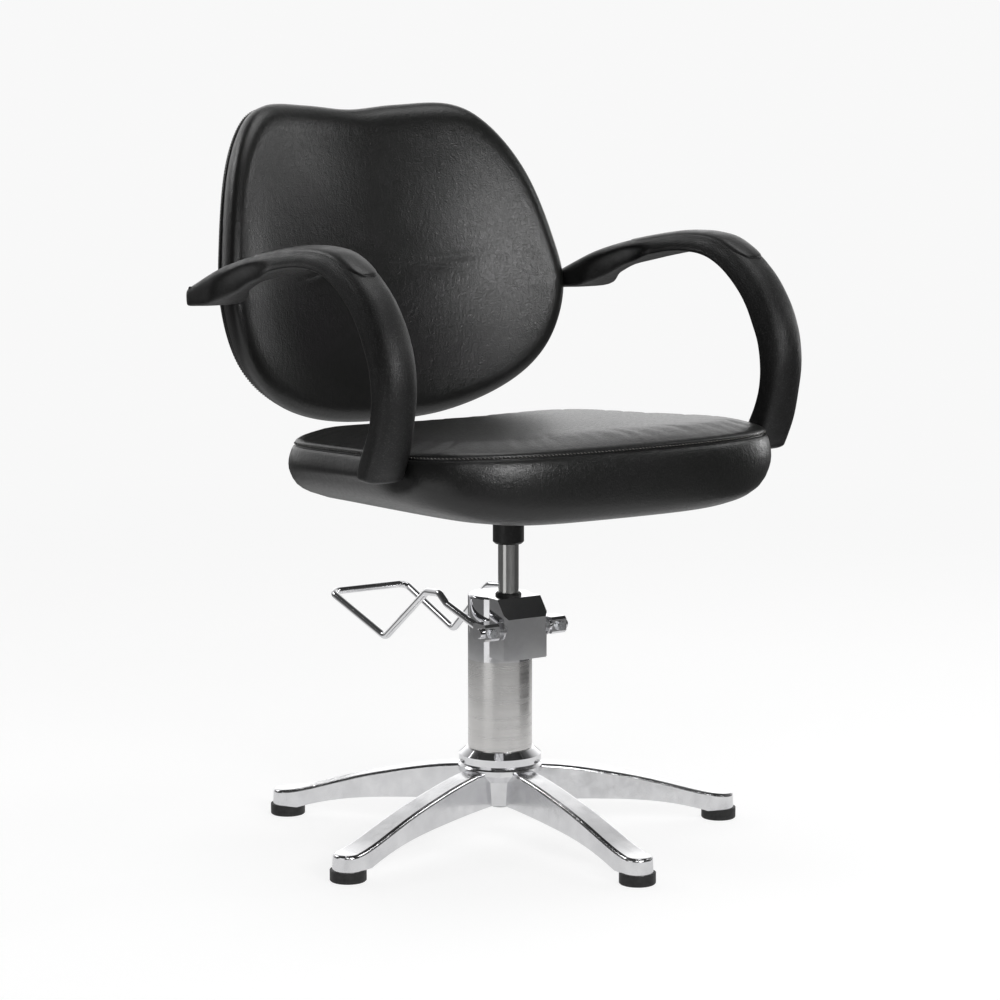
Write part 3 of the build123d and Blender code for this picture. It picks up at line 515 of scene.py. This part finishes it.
def seat_rings():
    """The seat cover's rings, from underneath, round the seam, to the middle of the top."""
    pucker = SEAT_PUCKER * ripple(SEAT_POINTS, 11, SEAT_PUCKER_WAVES)
    swell = SEAT_SWELL * ripple(SEAT_POINTS, 5, SEAT_SWELL_WAVES)
    rings = []
    for index, (inset, height, rise, lean) in enumerate(SEAT_SECTION):
        wander = wandering(index, SEAM_RING, SEAT_SEAM_REACH, pucker, swell)
        x, y, out_x, out_y = seat_plan(inset)
        x, y = x + wander * out_x, y + wander * out_y
        rings.append(np.stack([x, y, seat_height(x, y, height, rise, lean)], axis=1))
    rim = rings[-1]
    middle = np.array([0.0, SEAT_Y, 0.0])
    for share in PANEL_SHARES:
        flat = middle + (rim - middle) * share
        x, y = flat[:, 0], flat[:, 1]
        crown = PANEL_Z + PANEL_CROWN * (1 - share ** 2)
        rings.append(np.stack([x, y, seat_height(x, y, crown, 0, 1)], axis=1))
    return rings


def make_seat():
    """The seat's cover and the stitches above its seam."""
    rings = seat_rings()
    low = rings[0].mean(axis=0)
    top = np.array([0.0, SEAT_Y, PANEL_TIP_Z])
    points, faces = skinned_rings(rings, low, top)
    cushion = piece("seat_cover", points, faces, "black_leather")
    # only the top panel swells, down to a few rings above the seam; the last point is its middle
    held = np.ones(len(points))
    held[SEAT_POINTS * FREE_RING:-2] = 0.0
    held[-1] = 0.0
    puff(cushion, held, pressure=2.5, most=1.8 * MM, slack=0.004)
    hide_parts("seat_cushion")
    seam = rings[SEAM_RING]
    outward = np.stack([seam[:, 0], seam[:, 1] - SEAT_Y, np.full(len(seam), STITCH_UPWARD)], axis=1)
    outward /= np.linalg.norm(outward, axis=1)[:, None]
    stitch_line = rings[STITCH_RING] + outward * SEAT_STITCH_PROUD
    stitches("seat_stitches", stitch_line, outward, length=3.0, radius=0.5, pitch=4.6, slant=0.45)


make_seat()


# ================================================================ back cushion

# The front of the back lies on a surface that wraps round an upright axis in front of it and bows
# round a level axis behind it. The throat is that surface's foremost middle point, below the cushion.
BACK_THROAT_Y = 254.3
BACK_THROAT_Z = 435.0
BACK_BOW_R = 1500.0
BACK_WRAP_R = 450.0
BACK_POINTS = 220
BACK_MIDDLE_Z = 672.0
OUTLINE_SAMPLES = 4000
OUTLINE_END_SAMPLES = 1200
# Half of the outline in X and Z, from the middle of the lower edge to the dip in the upper edge.
BACK_HALF_OUTLINE = [
    (0, 476.5), (90, 484.0), (165, 513), (213.5, 562), (235, 630), (227, 700), (205, 778), (171, 833),
    (131, 857), (65, 856.5), (0, 851),
]


def smooth_line(points, count):
    """A Catmull-Rom line through the points, at even spacing."""
    points = np.asarray(points, float)
    extended = np.vstack([2 * points[0] - points[1], points, 2 * points[-1] - points[-2]])
    dense = []
    for index in range(1, len(extended) - 2):
        p0, p1, p2, p3 = extended[index - 1:index + 3]
        for t in np.linspace(0, 1, 24, endpoint=False):
            dense.append(0.5 * (
                2 * p1 + (p2 - p0) * t + (2 * p0 - 5 * p1 + 4 * p2 - p3) * t ** 2
                + (3 * p1 - p0 - 3 * p2 + p3) * t ** 3
            ))
    dense = np.array(dense + [points[-1]])
    run = run_along(dense)
    at = np.linspace(0, run[-1], count)
    return np.stack([np.interp(at, run, dense[:, axis]) for axis in range(dense.shape[1])], axis=1)


def back_outline(inset):
    """The back's outline in X and Z, drawn in by the inset."""
    whole = BACK_HALF_OUTLINE + [(-x, z) for x, z in reversed(BACK_HALF_OUTLINE[1:-1])]
    # the line runs past its start at both ends, so that the loop cut from it is smooth where it closes
    line = smooth_line(whole[-2:] + whole + whole[:2], OUTLINE_SAMPLES)
    from_start = np.linalg.norm(line - np.array(whole[0]), axis=1)
    first = np.argmin(from_start[:OUTLINE_END_SAMPLES])
    last = len(line) - OUTLINE_END_SAMPLES + np.argmin(from_start[-OUTLINE_END_SAMPLES:])
    loop = line[first:last]
    run = run_along(loop)
    at = np.linspace(0, run[-1], BACK_POINTS, endpoint=False)
    x, z = np.interp(at, run, loop[:, 0]), np.interp(at, run, loop[:, 1])
    out_x, out_z = outward_normals(x, z)
    return x - inset * out_x, z - inset * out_z


def back_y(x, z, depth):
    """Y on the doubly curved surface at a depth behind the back's front."""
    bow_axis_y = BACK_THROAT_Y + BACK_BOW_R
    wrap_axis_y = BACK_THROAT_Y - BACK_WRAP_R
    reach = bow_axis_y - wrap_axis_y - np.sqrt((BACK_WRAP_R + depth) ** 2 - x ** 2)
    return bow_axis_y - np.sqrt(reach ** 2 - (z - BACK_THROAT_Z) ** 2)


# Edge of the cover, from the front panel round the side strip to the rear panel: inset, depth.
BACK_SECTION = [
    (44, -1.6), (30, -1.4), (20, -0.6), (12, 0.8), (5.5, 3.0), (0.5, 6.2), (-3.2, 10.4),
    (-5.2, 15.6), (-5.4, 22.0), (-4.0, 29.0), (-1.6, 35.0), (1.6, 38.2), (-0.2, 39.6), (-0.2, 42.5),
    (1.2, 46.0), (4.0, 49.4), (8.0, 51.4), (13.0, 52.2), (22.0, 52.4), (36.0, 52.4),
]
BACK_SEAM_RING = 11
BACK_FREE_RING = 3
BACK_STITCH_RING = BACK_SEAM_RING + 2
BACK_STITCH_PROUD = 0.35
BACK_SHARES = (0.86, 0.72, 0.58, 0.45, 0.33, 0.22, 0.12)
BACK_FRONT_CROWN = -3.5
BACK_REAR_CROWN = 0.6
BACK_FRONT_TIP = -4.5
BACK_REAR_TIP = 53.0
BACK_SEAM_REACH = 1.8
BACK_PUCKER, BACK_PUCKER_WAVES = 0.3, (140, 163, 121, 88)
BACK_SWELL, BACK_SWELL_WAVES = 0.5, (3, 5, 9, 12)


def back_rings():
    """The back cover's rings, from the middle of the front to the middle of the rear."""
    pucker = BACK_PUCKER * ripple(BACK_POINTS, 3, BACK_PUCKER_WAVES)
    swell = BACK_SWELL * ripple(BACK_POINTS, 8, BACK_SWELL_WAVES)
    rings = []
    for index, (inset, depth) in enumerate(BACK_SECTION):
        wander = wandering(index, BACK_SEAM_RING, BACK_SEAM_REACH, pucker, swell)
        x, z = back_outline(inset - wander)
        rings.append(np.stack([x, back_y(x, z, depth), z], axis=1))
    front, rear = [], []
    for store, index, crown in ((front, 0, BACK_FRONT_CROWN), (rear, -1, BACK_REAR_CROWN)):
        inset, depth = BACK_SECTION[index]
        x, z = back_outline(inset)
        for share in BACK_SHARES:
            sx, sz = x * share, BACK_MIDDLE_Z + (z - BACK_MIDDLE_Z) * share
            at = depth + crown * (1 - share ** 2)
            store.append(np.stack([sx, back_y(sx, sz, at), sz], axis=1))
    return front[::-1] + rings + rear


def back_tip(depth):
    """The middle of a panel, at a depth behind the back's front."""
    return np.array([0.0, float(back_y(np.array(0.0), BACK_MIDDLE_Z, depth)), BACK_MIDDLE_Z])


def make_back():
    """The back's cover and the stitches behind its seam."""
    rings = back_rings()
    offset = len(BACK_SHARES)
    points, faces = skinned_rings(rings, back_tip(BACK_FRONT_TIP), back_tip(BACK_REAR_TIP))
    cushion = piece("back_cover", points, faces, "black_leather")
    # only the front panel and the start of its edge swell; the last point but one is its middle
    held = np.ones(len(points))
    held[:BACK_POINTS * (offset + BACK_FREE_RING)] = 0.0
    held[-2] = 0.0
    puff(cushion, held, pressure=1.5, most=0.8 * MM, slack=0.0015)
    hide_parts("back_cushion", "back_rear_panel")
    seam = rings[offset + BACK_STITCH_RING]
    outward = np.stack([seam[:, 0], np.zeros(len(seam)), seam[:, 2] - BACK_MIDDLE_Z], axis=1)
    outward /= np.linalg.norm(outward, axis=1)[:, None]
    stitch_line = seam + outward * BACK_STITCH_PROUD
    stitches("back_stitches", stitch_line, outward, length=2.8, radius=0.4, pitch=4.4, slant=0.0)


make_back()


# ================================================================ arms

ARM_X = (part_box("arm_left")[0].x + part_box("arm_left")[1].x) / 2 / MM
ARM_STATIONS = 150
# Crown line and inner line of the loop seen from the side (Y, Z), matched point for point.
ARM_CROWN = [
    (231, 655), (190, 671.5), (152, 684.5), (115, 693.5), (80, 700), (45, 705.5),
    (5, 711), (-30, 713.8), (-64, 714), (-97, 709.5), (-129, 696.5), (-153, 681.5),
    (-172, 666), (-188, 648), (-201, 629), (-210, 607), (-214, 588), (-215, 570),
    (-213, 552), (-208, 531), (-201.5, 512), (-194, 494), (-186, 478), (-180, 469),
]
ARM_INNER = [
    (229, 630), (182, 634.5), (150, 647), (111, 663), (75, 672), (42, 680),
    (2, 687), (-28, 689.5), (-58, 689), (-84, 684), (-108, 673.5), (-128, 660),
    (-145, 645), (-158, 629), (-169, 610), (-176.5, 596), (-181, 582), (-183.5, 567),
    (-184, 551), (-181, 533), (-173, 515), (-163, 499), (-154, 483), (-152, 470),
]
# Halves of the section: across X in mm, and up from the inner line (0) to the crown (1).
LOOP_HALF = [
    (0.0, 1.0), (7.0, 0.98), (12.8, 0.93), (17.2, 0.845), (20.4, 0.735), (22.4, 0.61), (23.7, 0.48),
    (24.4, 0.35), (24.5, 0.24), (25.4, 0.13), (25.4, 0.05), (23.6, 0.0), (14.0, 0.0), (0.0, 0.03),
]
KEEL_HALF = [
    (0.0, 1.0), (6.8, 0.985), (12.6, 0.94), (17.2, 0.86), (20.4, 0.75), (21.6, 0.66), (20.0, 0.55),
    (15.0, 0.41), (11.4, 0.28), (9.6, 0.16), (8.8, 0.07), (7.6, 0.02), (4.0, 0.0), (0.0, 0.0),
]
FLARE_HALF = [
    (0.0, 1.0), (8.0, 0.99), (15.0, 0.96), (20.4, 0.89), (23.7, 0.78), (24.8, 0.64), (25.0, 0.48),
    (25.0, 0.32), (25.0, 0.22), (24.8, 0.14), (24.0, 0.06), (21.6, 0.01), (12.0, 0.0), (0.0, 0.0),
]
# Where the section changes: the crown's Y for the keel and the rear flare, its Z for the foot's flare.
KEEL_FROM_Y, KEEL_TO_Y = 10, 95
FLARE_FROM_Y, FLARE_TO_Y = 128, 178
FOOT_FLARE_FROM_Z, FOOT_FLARE_TO_Z = 545, 492
# The open ends are rounded off over these lengths, in these directions.
END_TURNS = (0.3, 0.6, 0.9, 1.15, 1.38)
END_POWER = 0.6
REAR_HEADING, REAR_ROUND = np.array([0.0, 0.985, -0.17]), 7.5
FOOT_HEADING, FOOT_ROUND = np.array([0.0, 0.05, -0.99]), 6.5


def arm_lines():
    """The crown line and the inner line, at as many stations each."""
    return smooth_line(ARM_CROWN, ARM_STATIONS), smooth_line(ARM_INNER, ARM_STATIONS)


def eased(value, low, high):
    """0 below low, 1 above high, and smooth between."""
    share = min(max((value - low) / (high - low), 0.0), 1.0)
    return share * share * (3 - 2 * share)


def half_section(crown):
    """Half of the arm's section at a place along the loop: plain in front, keeled, then flared."""
    keeled = eased(crown[0], KEEL_FROM_Y, KEEL_TO_Y)
    rear_flare = eased(crown[0], FLARE_FROM_Y, FLARE_TO_Y)
    foot_flare = eased(-crown[1], -FOOT_FLARE_FROM_Z, -FOOT_FLARE_TO_Z)
    flared = max(rear_flare, foot_flare)
    half = []
    for loop, keel, flare in zip(LOOP_HALF, KEEL_HALF, FLARE_HALF):
        mixed = np.array(loop) + (np.array(keel) - np.array(loop)) * keeled
        half.append(mixed + (np.array(flare) - mixed) * flared)
    return half


def arm_section(crown, inner):
    """One ring of the arm, from the crown down one side, along the inner face and back up."""
    half = half_section(crown)
    ring = half + [np.array([-x, share]) for x, share in reversed(half[1:-1])]
    return np.array([(x, *(inner + (crown - inner) * share)) for x, share in ring])


def end_rings(ring, heading, length):
    """Rings that round off an open end of the arm."""
    middle = ring.mean(axis=0)
    return [
        middle + (ring - middle) * math.cos(turn) ** END_POWER + heading * length * math.sin(turn)
        for turn in END_TURNS
    ]


def arm_rings():
    """The arm's rings, from its open end behind, over the loop, to its foot."""
    crown_line, inner_line = arm_lines()
    rings = [arm_section(crown, inner) for crown, inner in zip(crown_line, inner_line)]
    rear = end_rings(rings[0], REAR_HEADING, REAR_ROUND)
    foot = end_rings(rings[-1], FOOT_HEADING, FOOT_ROUND)
    return rear[::-1] + rings + foot


def make_arm(side, hand):
    """One moulded arm, on the side of X that has this sign."""
    rings = [ring * np.array([side, 1, 1]) + np.array([side * ARM_X, 0, 0]) for ring in arm_rings()]
    points, faces = skinned_rings(rings, rings[0].mean(axis=0), rings[-1].mean(axis=0))
    if side < 0:
        faces = [tuple(reversed(face)) for face in faces]
    arm = piece(f"armrest_{hand}", points, faces, "arm_foam", sharp=50)
    smooth = arm.modifiers.new("smooth", "SUBSURF")
    smooth.levels = 1
    smooth.render_levels = 1
    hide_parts(f"arm_{hand}")


# Grip pad: a thin cap over the crown, between two places along the loop.
PAD_REAR_Y = 96.0
PAD_FRONT_Y = -148.0
PAD_LOWEST_Z = 660.0
PAD_HALF_W = 19.6
PAD_PROUD = 2.0
PAD_SUNK = 1.6
PAD_UNDERSIDE = -3.0
PAD_END_POWER = 9
PAD_STEPS = 90
PAD_STEPS_ACROSS = 17
# The rim rolls down over one part in this many, of the pad's half width and of its length.
PAD_SIDE_ROLL = 5.0
PAD_END_ROLL = 34
# At its rear the pad stands proud by this share only, and by all of it one part in PAD_FADE along.
PAD_REAR_SHARE = 0.35
PAD_FADE = 2.2


def pad_run(crown_line, run):
    """Where the pad starts at the rear and ends in front, as lengths along the crown."""
    below = 1000 * (crown_line[:, 1] < PAD_LOWEST_Z)
    rear = run[np.argmin(np.abs(crown_line[:, 0] - PAD_REAR_Y))]
    return rear, run[np.argmin(np.abs(crown_line[:, 0] - PAD_FRONT_Y) + below)]


def pad_surfaces(side):
    """Points of the pad's top and underside, row by row from its rear to its front."""
    crown_line, inner_line = arm_lines()
    run = run_along(crown_line)
    start, front = pad_run(crown_line, run)
    top, bottom = [], []
    for step in range(PAD_STEPS + 1):
        share = step / PAD_STEPS
        at = start + (front - start) * share
        crown, inner = [
            np.array([np.interp(at, run, line[:, 0]), np.interp(at, run, line[:, 1])])
            for line in (crown_line, inner_line)
        ]
        depth = np.linalg.norm(crown - inner)
        up = (crown - inner) / depth
        shoulder = half_section(crown)[:6]
        # the outline is a slot with round ends
        edge = math.sqrt(max(0.0, 1 - (abs(2 * share - 1) ** PAD_END_POWER)))
        fade = PAD_REAR_SHARE + (1 - PAD_REAR_SHARE) * min(1.0, share * PAD_FADE)
        for cross in range(PAD_STEPS_ACROSS + 1):
            u = -1 + 2 * cross / PAD_STEPS_ACROSS
            x = u * PAD_HALF_W * edge
            drop = depth * (1 - np.interp(abs(x), [h[0] for h in shoulder], [h[1] for h in shoulder]))
            rim = min(1.0, (1 - abs(u)) * PAD_SIDE_ROLL, share * PAD_END_ROLL, (1 - share) * PAD_END_ROLL)
            rise = (PAD_PROUD * fade + PAD_SUNK) * math.sqrt(max(0.0, 1 - (1 - rim) ** 2)) - PAD_SUNK
            for store, lift in ((top, rise), (bottom, PAD_UNDERSIDE)):
                spot = crown + up * (lift - drop)
                store.append((side * (ARM_X + x), spot[0], spot[1]))
    return top, bottom


def make_pad(side, hand):
    """One grip pad: its top and underside, joined round the border."""
    top, bottom = pad_surfaces(side)
    points = np.array(top + bottom)
    row, total = PAD_STEPS_ACROSS + 1, len(top)
    faces = []
    for step in range(PAD_STEPS):
        for cross in range(PAD_STEPS_ACROSS):
            a = step * row + cross
            quad = (a, a + 1, a + row + 1, a + row)
            faces.append(quad)
            faces.append(tuple(index + total for index in reversed(quad)))
    border = list(range(PAD_STEPS_ACROSS))
    border += [step * row + PAD_STEPS_ACROSS for step in range(PAD_STEPS)]
    border += [PAD_STEPS * row + cross for cross in range(PAD_STEPS_ACROSS, 0, -1)]
    border += [step * row for step in range(PAD_STEPS, 0, -1)]
    for index, a in enumerate(border):
        b = border[(index + 1) % len(border)]
        faces.append((b, a, a + total, b + total))
    if side < 0:
        faces = [tuple(reversed(face)) for face in faces]
    pad = piece(f"grip_{hand}", points, faces, "grip_foam", sharp=60)
    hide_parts(f"grip_pad_{hand}")


for hand, side in (("left", 1), ("right", -1)):
    make_arm(side, hand)
    make_pad(side, hand)


# ================================================================ softened metal edges

for name, width in (("star_base", 1.2), ("pump_head", 1.0), ("base_collar", 0.8), ("clamp_blocks", 0.8)):
    bevel = nodes[name].modifiers.new("edge", "BEVEL")
    bevel.width = width * MM
    bevel.segments = 2
    bevel.limit_method = "ANGLE"
    bevel.angle_limit = math.radians(38)


# ================================================================ camera

CAMERA_PLACE = (-2.03192, -3.02871, 0.93129)
CAMERA_DOWN = 0.1438
CAMERA_TURN = math.radians(33.857)

cam_data = bpy.data.cameras.new("camera")
cam_data.sensor_width = 36.0
cam_data.lens = 112.19
cam_data.clip_end = 60.0
camera = bpy.data.objects.new("camera", cam_data)
camera.location = CAMERA_PLACE
camera.rotation_euler = (math.pi / 2 - CAMERA_DOWN, 0.0, -CAMERA_TURN)
bpy.context.scene.collection.objects.link(camera)
bpy.context.scene.camera = camera


# ================================================================ stage and light


def stage_mesh(name, corners, faces, colour, glow):
    """A floor, backdrop or card, lit from within so that it stays even."""
    mesh = bpy.data.meshes.new(name)
    mesh.from_pydata(corners, [], faces)
    finish = Finish(name, (colour, colour, colour), 0.0, 0.8)
    finish.set("Specular IOR Level", 0.0)
    finish.set("Emission Color", (1, 1, 1, 1))
    finish.set("Emission Strength", glow)
    mesh.materials.append(finish.material)
    made = bpy.data.objects.new(name, mesh)
    bpy.context.scene.collection.objects.link(made)
    return made


def radial_glow(stage_piece, near, far, from_reach, to_reach, socket):
    """Makes one shader value of a floor fade with the distance from the chair."""
    tree = stage_piece.data.materials[0].node_tree
    distance = tree.nodes.new("ShaderNodeVectorMath")
    distance.operation = "LENGTH"
    tree.links.new(tree.nodes.new("ShaderNodeTexCoord").outputs["Object"], distance.inputs[0])
    fade = tree.nodes.new("ShaderNodeMapRange")
    fade.interpolation_type = "SMOOTHSTEP"
    for name, value in (("From Min", from_reach), ("From Max", to_reach), ("To Min", near), ("To Max", far)):
        fade.inputs[name].default_value = value
    tree.links.new(distance.outputs["Value"], fade.inputs["Value"])
    tree.links.new(fade.outputs["Result"], tree.nodes["Principled BSDF"].inputs[socket])


def unseen_by(stage_piece, *rays):
    """Hides a piece of the stage from some kinds of ray."""
    for ray in rays:
        setattr(stage_piece, f"visible_{ray}", False)


BACKDROP = 0.94
FLOOR_REACH = 30.0
FLOOR_GLOW = 0.80
FLOOR_TONE = 0.30
FADE_FROM, FADE_TO = 0.7, 3.2


def floor_piece(name, level):
    corners = [(x * FLOOR_REACH, y * FLOOR_REACH, level) for x, y in ((-1, -1), (1, -1), (1, 1), (-1, 1))]
    return stage_mesh(name, corners, [(0, 1, 2, 3)], FLOOR_TONE, FLOOR_GLOW)


# the pale floor that the camera sees takes shadows near the chair and fades into the backdrop
floor = floor_piece("floor", 0.0)
radial_glow(floor, FLOOR_TONE, 0.0, FADE_FROM, FADE_TO, "Base Color")
radial_glow(floor, FLOOR_GLOW, BACKDROP, FADE_FROM, FADE_TO, "Emission Strength")
unseen_by(floor, "glossy", "diffuse")

# the floor that surfaces reflect is a pale sheet round the base, with a dark studio beyond
sheet = floor_piece("studio_sheet", -0.002)
radial_glow(sheet, 0.68, 0.06, 0.60, 1.4, "Emission Strength")
unseen_by(sheet, "camera", "transmission", "shadow")

# a pale dome that only the camera sees, so that reflections come from the studio light
DOME_R = 29.0
DOME_BASE_Z = -0.5
DOME_SIDES = 48
DOME_LEVELS = 12
dome_points, dome_faces = [], []
for level in range(DOME_LEVELS + 1):
    lift = math.pi / 2 * level / DOME_LEVELS
    for side in range(DOME_SIDES):
        turn = 2 * math.pi * side / DOME_SIDES
        reach = DOME_R * math.cos(lift)
        height = DOME_R * math.sin(lift) + DOME_BASE_Z
        dome_points.append((reach * math.cos(turn), reach * math.sin(turn), height))
for level in range(DOME_LEVELS):
    for side in range(DOME_SIDES):
        after = (side + 1) % DOME_SIDES
        low, high = level * DOME_SIDES, (level + 1) * DOME_SIDES
        dome_faces.append((low + after, low + side, high + side, high + after))
dome = stage_mesh("dome", dome_points, dome_faces, 0.0, BACKDROP)
unseen_by(dome, "diffuse", "glossy", "transmission", "shadow")


def softbox(name, place, target, width, height, power):
    """A rectangular studio lamp aimed at a target."""
    data = bpy.data.lights.new(name, "AREA")
    data.shape = "RECTANGLE"
    data.energy = power
    data.size = width
    data.size_y = height
    lamp = bpy.data.objects.new(name, data)
    lamp.location = place
    aim = np.array(target) - np.array(place)
    climb = math.atan2(aim[2], math.hypot(aim[0], aim[1]))
    lamp.rotation_euler = (math.pi / 2 + climb, 0.0, math.atan2(aim[1], aim[0]) - math.pi / 2)
    bpy.context.scene.collection.objects.link(lamp)


# cards that stand low beside the chair and show only in its polished metal
CARD_FOOT, CARD_TOP = 0.01, 0.46
for name, x_from, y_from, x_to, y_to, glow in (
    ("grey_card", 0.45, -0.56, 0.74, 0.06, 0.09), ("pale_card", -1.02, -0.60, -1.02, 0.05, 0.9),
):
    corners = [
        (x_from, y_from, CARD_FOOT), (x_to, y_to, CARD_FOOT),
        (x_to, y_to, CARD_TOP), (x_from, y_from, CARD_TOP),
    ]
    card = stage_mesh(name, corners, [(0, 1, 2, 3)], 0.02, glow)
    unseen_by(card, "camera", "diffuse", "transmission", "shadow")

BACK_MIDDLE = (0.0, 0.2, 0.65)
SEAT_MIDDLE = (0.0, -0.1, 0.4)
softbox("key_box", (-0.25, -2.80, 1.45), (0.15, 0.2, 0.66), 1.2, 0.7, 34.0)
softbox("left_box", (-2.1, -2.7, 2.6), SEAT_MIDDLE, 1.0, 0.9, 14.0)
softbox("right_box", (2.9, -1.3, 2.3), BACK_MIDDLE, 1.0, 0.8, 12.0)
softbox("side_box", (3.2, 0.05, 0.85), BACK_MIDDLE, 0.35, 0.9, 11.0)
softbox("rear_box", (-1.6, 2.9, 2.4), SEAT_MIDDLE, 1.2, 1.0, 16.0)
softbox("top_box", (0.3, 0.2, 3.4), SEAT_MIDDLE, 1.8, 1.8, 26.0)

# studio surroundings: bright beyond the chair, dim behind the camera and in a band high above
world = bpy.data.worlds.new("world")
world.use_nodes = True
sky = world.node_tree
sky_place = sky.nodes.new("ShaderNodeTexCoord").outputs["Generated"]


def sky_ramp(direction, stops):
    """A brightness that changes from behind (0) to ahead (1) along a direction."""
    dot = sky.nodes.new("ShaderNodeVectorMath")
    dot.operation = "DOT_PRODUCT"
    dot.inputs[1].default_value = direction
    sky.links.new(sky_place, dot.inputs[0])
    spread = sky.nodes.new("ShaderNodeMapRange")
    spread.inputs["From Min"].default_value = -1.0
    sky.links.new(dot.outputs["Value"], spread.inputs["Value"])
    greys = [(position, (level, level, level)) for position, level in stops]
    return ramp_node(sky, spread.outputs["Result"], greys)


AHEAD = (0.557, 0.830, 0.0)
ahead = sky_ramp(AHEAD, [(0.0, 0.02), (0.5, 0.035), (0.72, 0.10), (0.88, 0.50), (1.0, 1.0)])
upward = sky_ramp((0.0, 0.0, 1.0), [(0.0, 0.9), (0.5, 1.0), (0.80, 0.95), (0.92, 0.30), (1.0, 0.75)])
mixed = sky.nodes.new("ShaderNodeMix")
mixed.data_type = "RGBA"
mixed.blend_type = "MULTIPLY"
mixed.inputs["Factor"].default_value = 1.0
sky.links.new(ahead, mixed.inputs["A"])
sky.links.new(upward, mixed.inputs["B"])
sky.links.new(mixed.outputs["Result"], sky.nodes["Background"].inputs["Color"])
sky.nodes["Background"].inputs["Strength"].default_value = 1.6
bpy.context.scene.world = world
bpy.context.scene.view_settings.view_transform = "Standard"
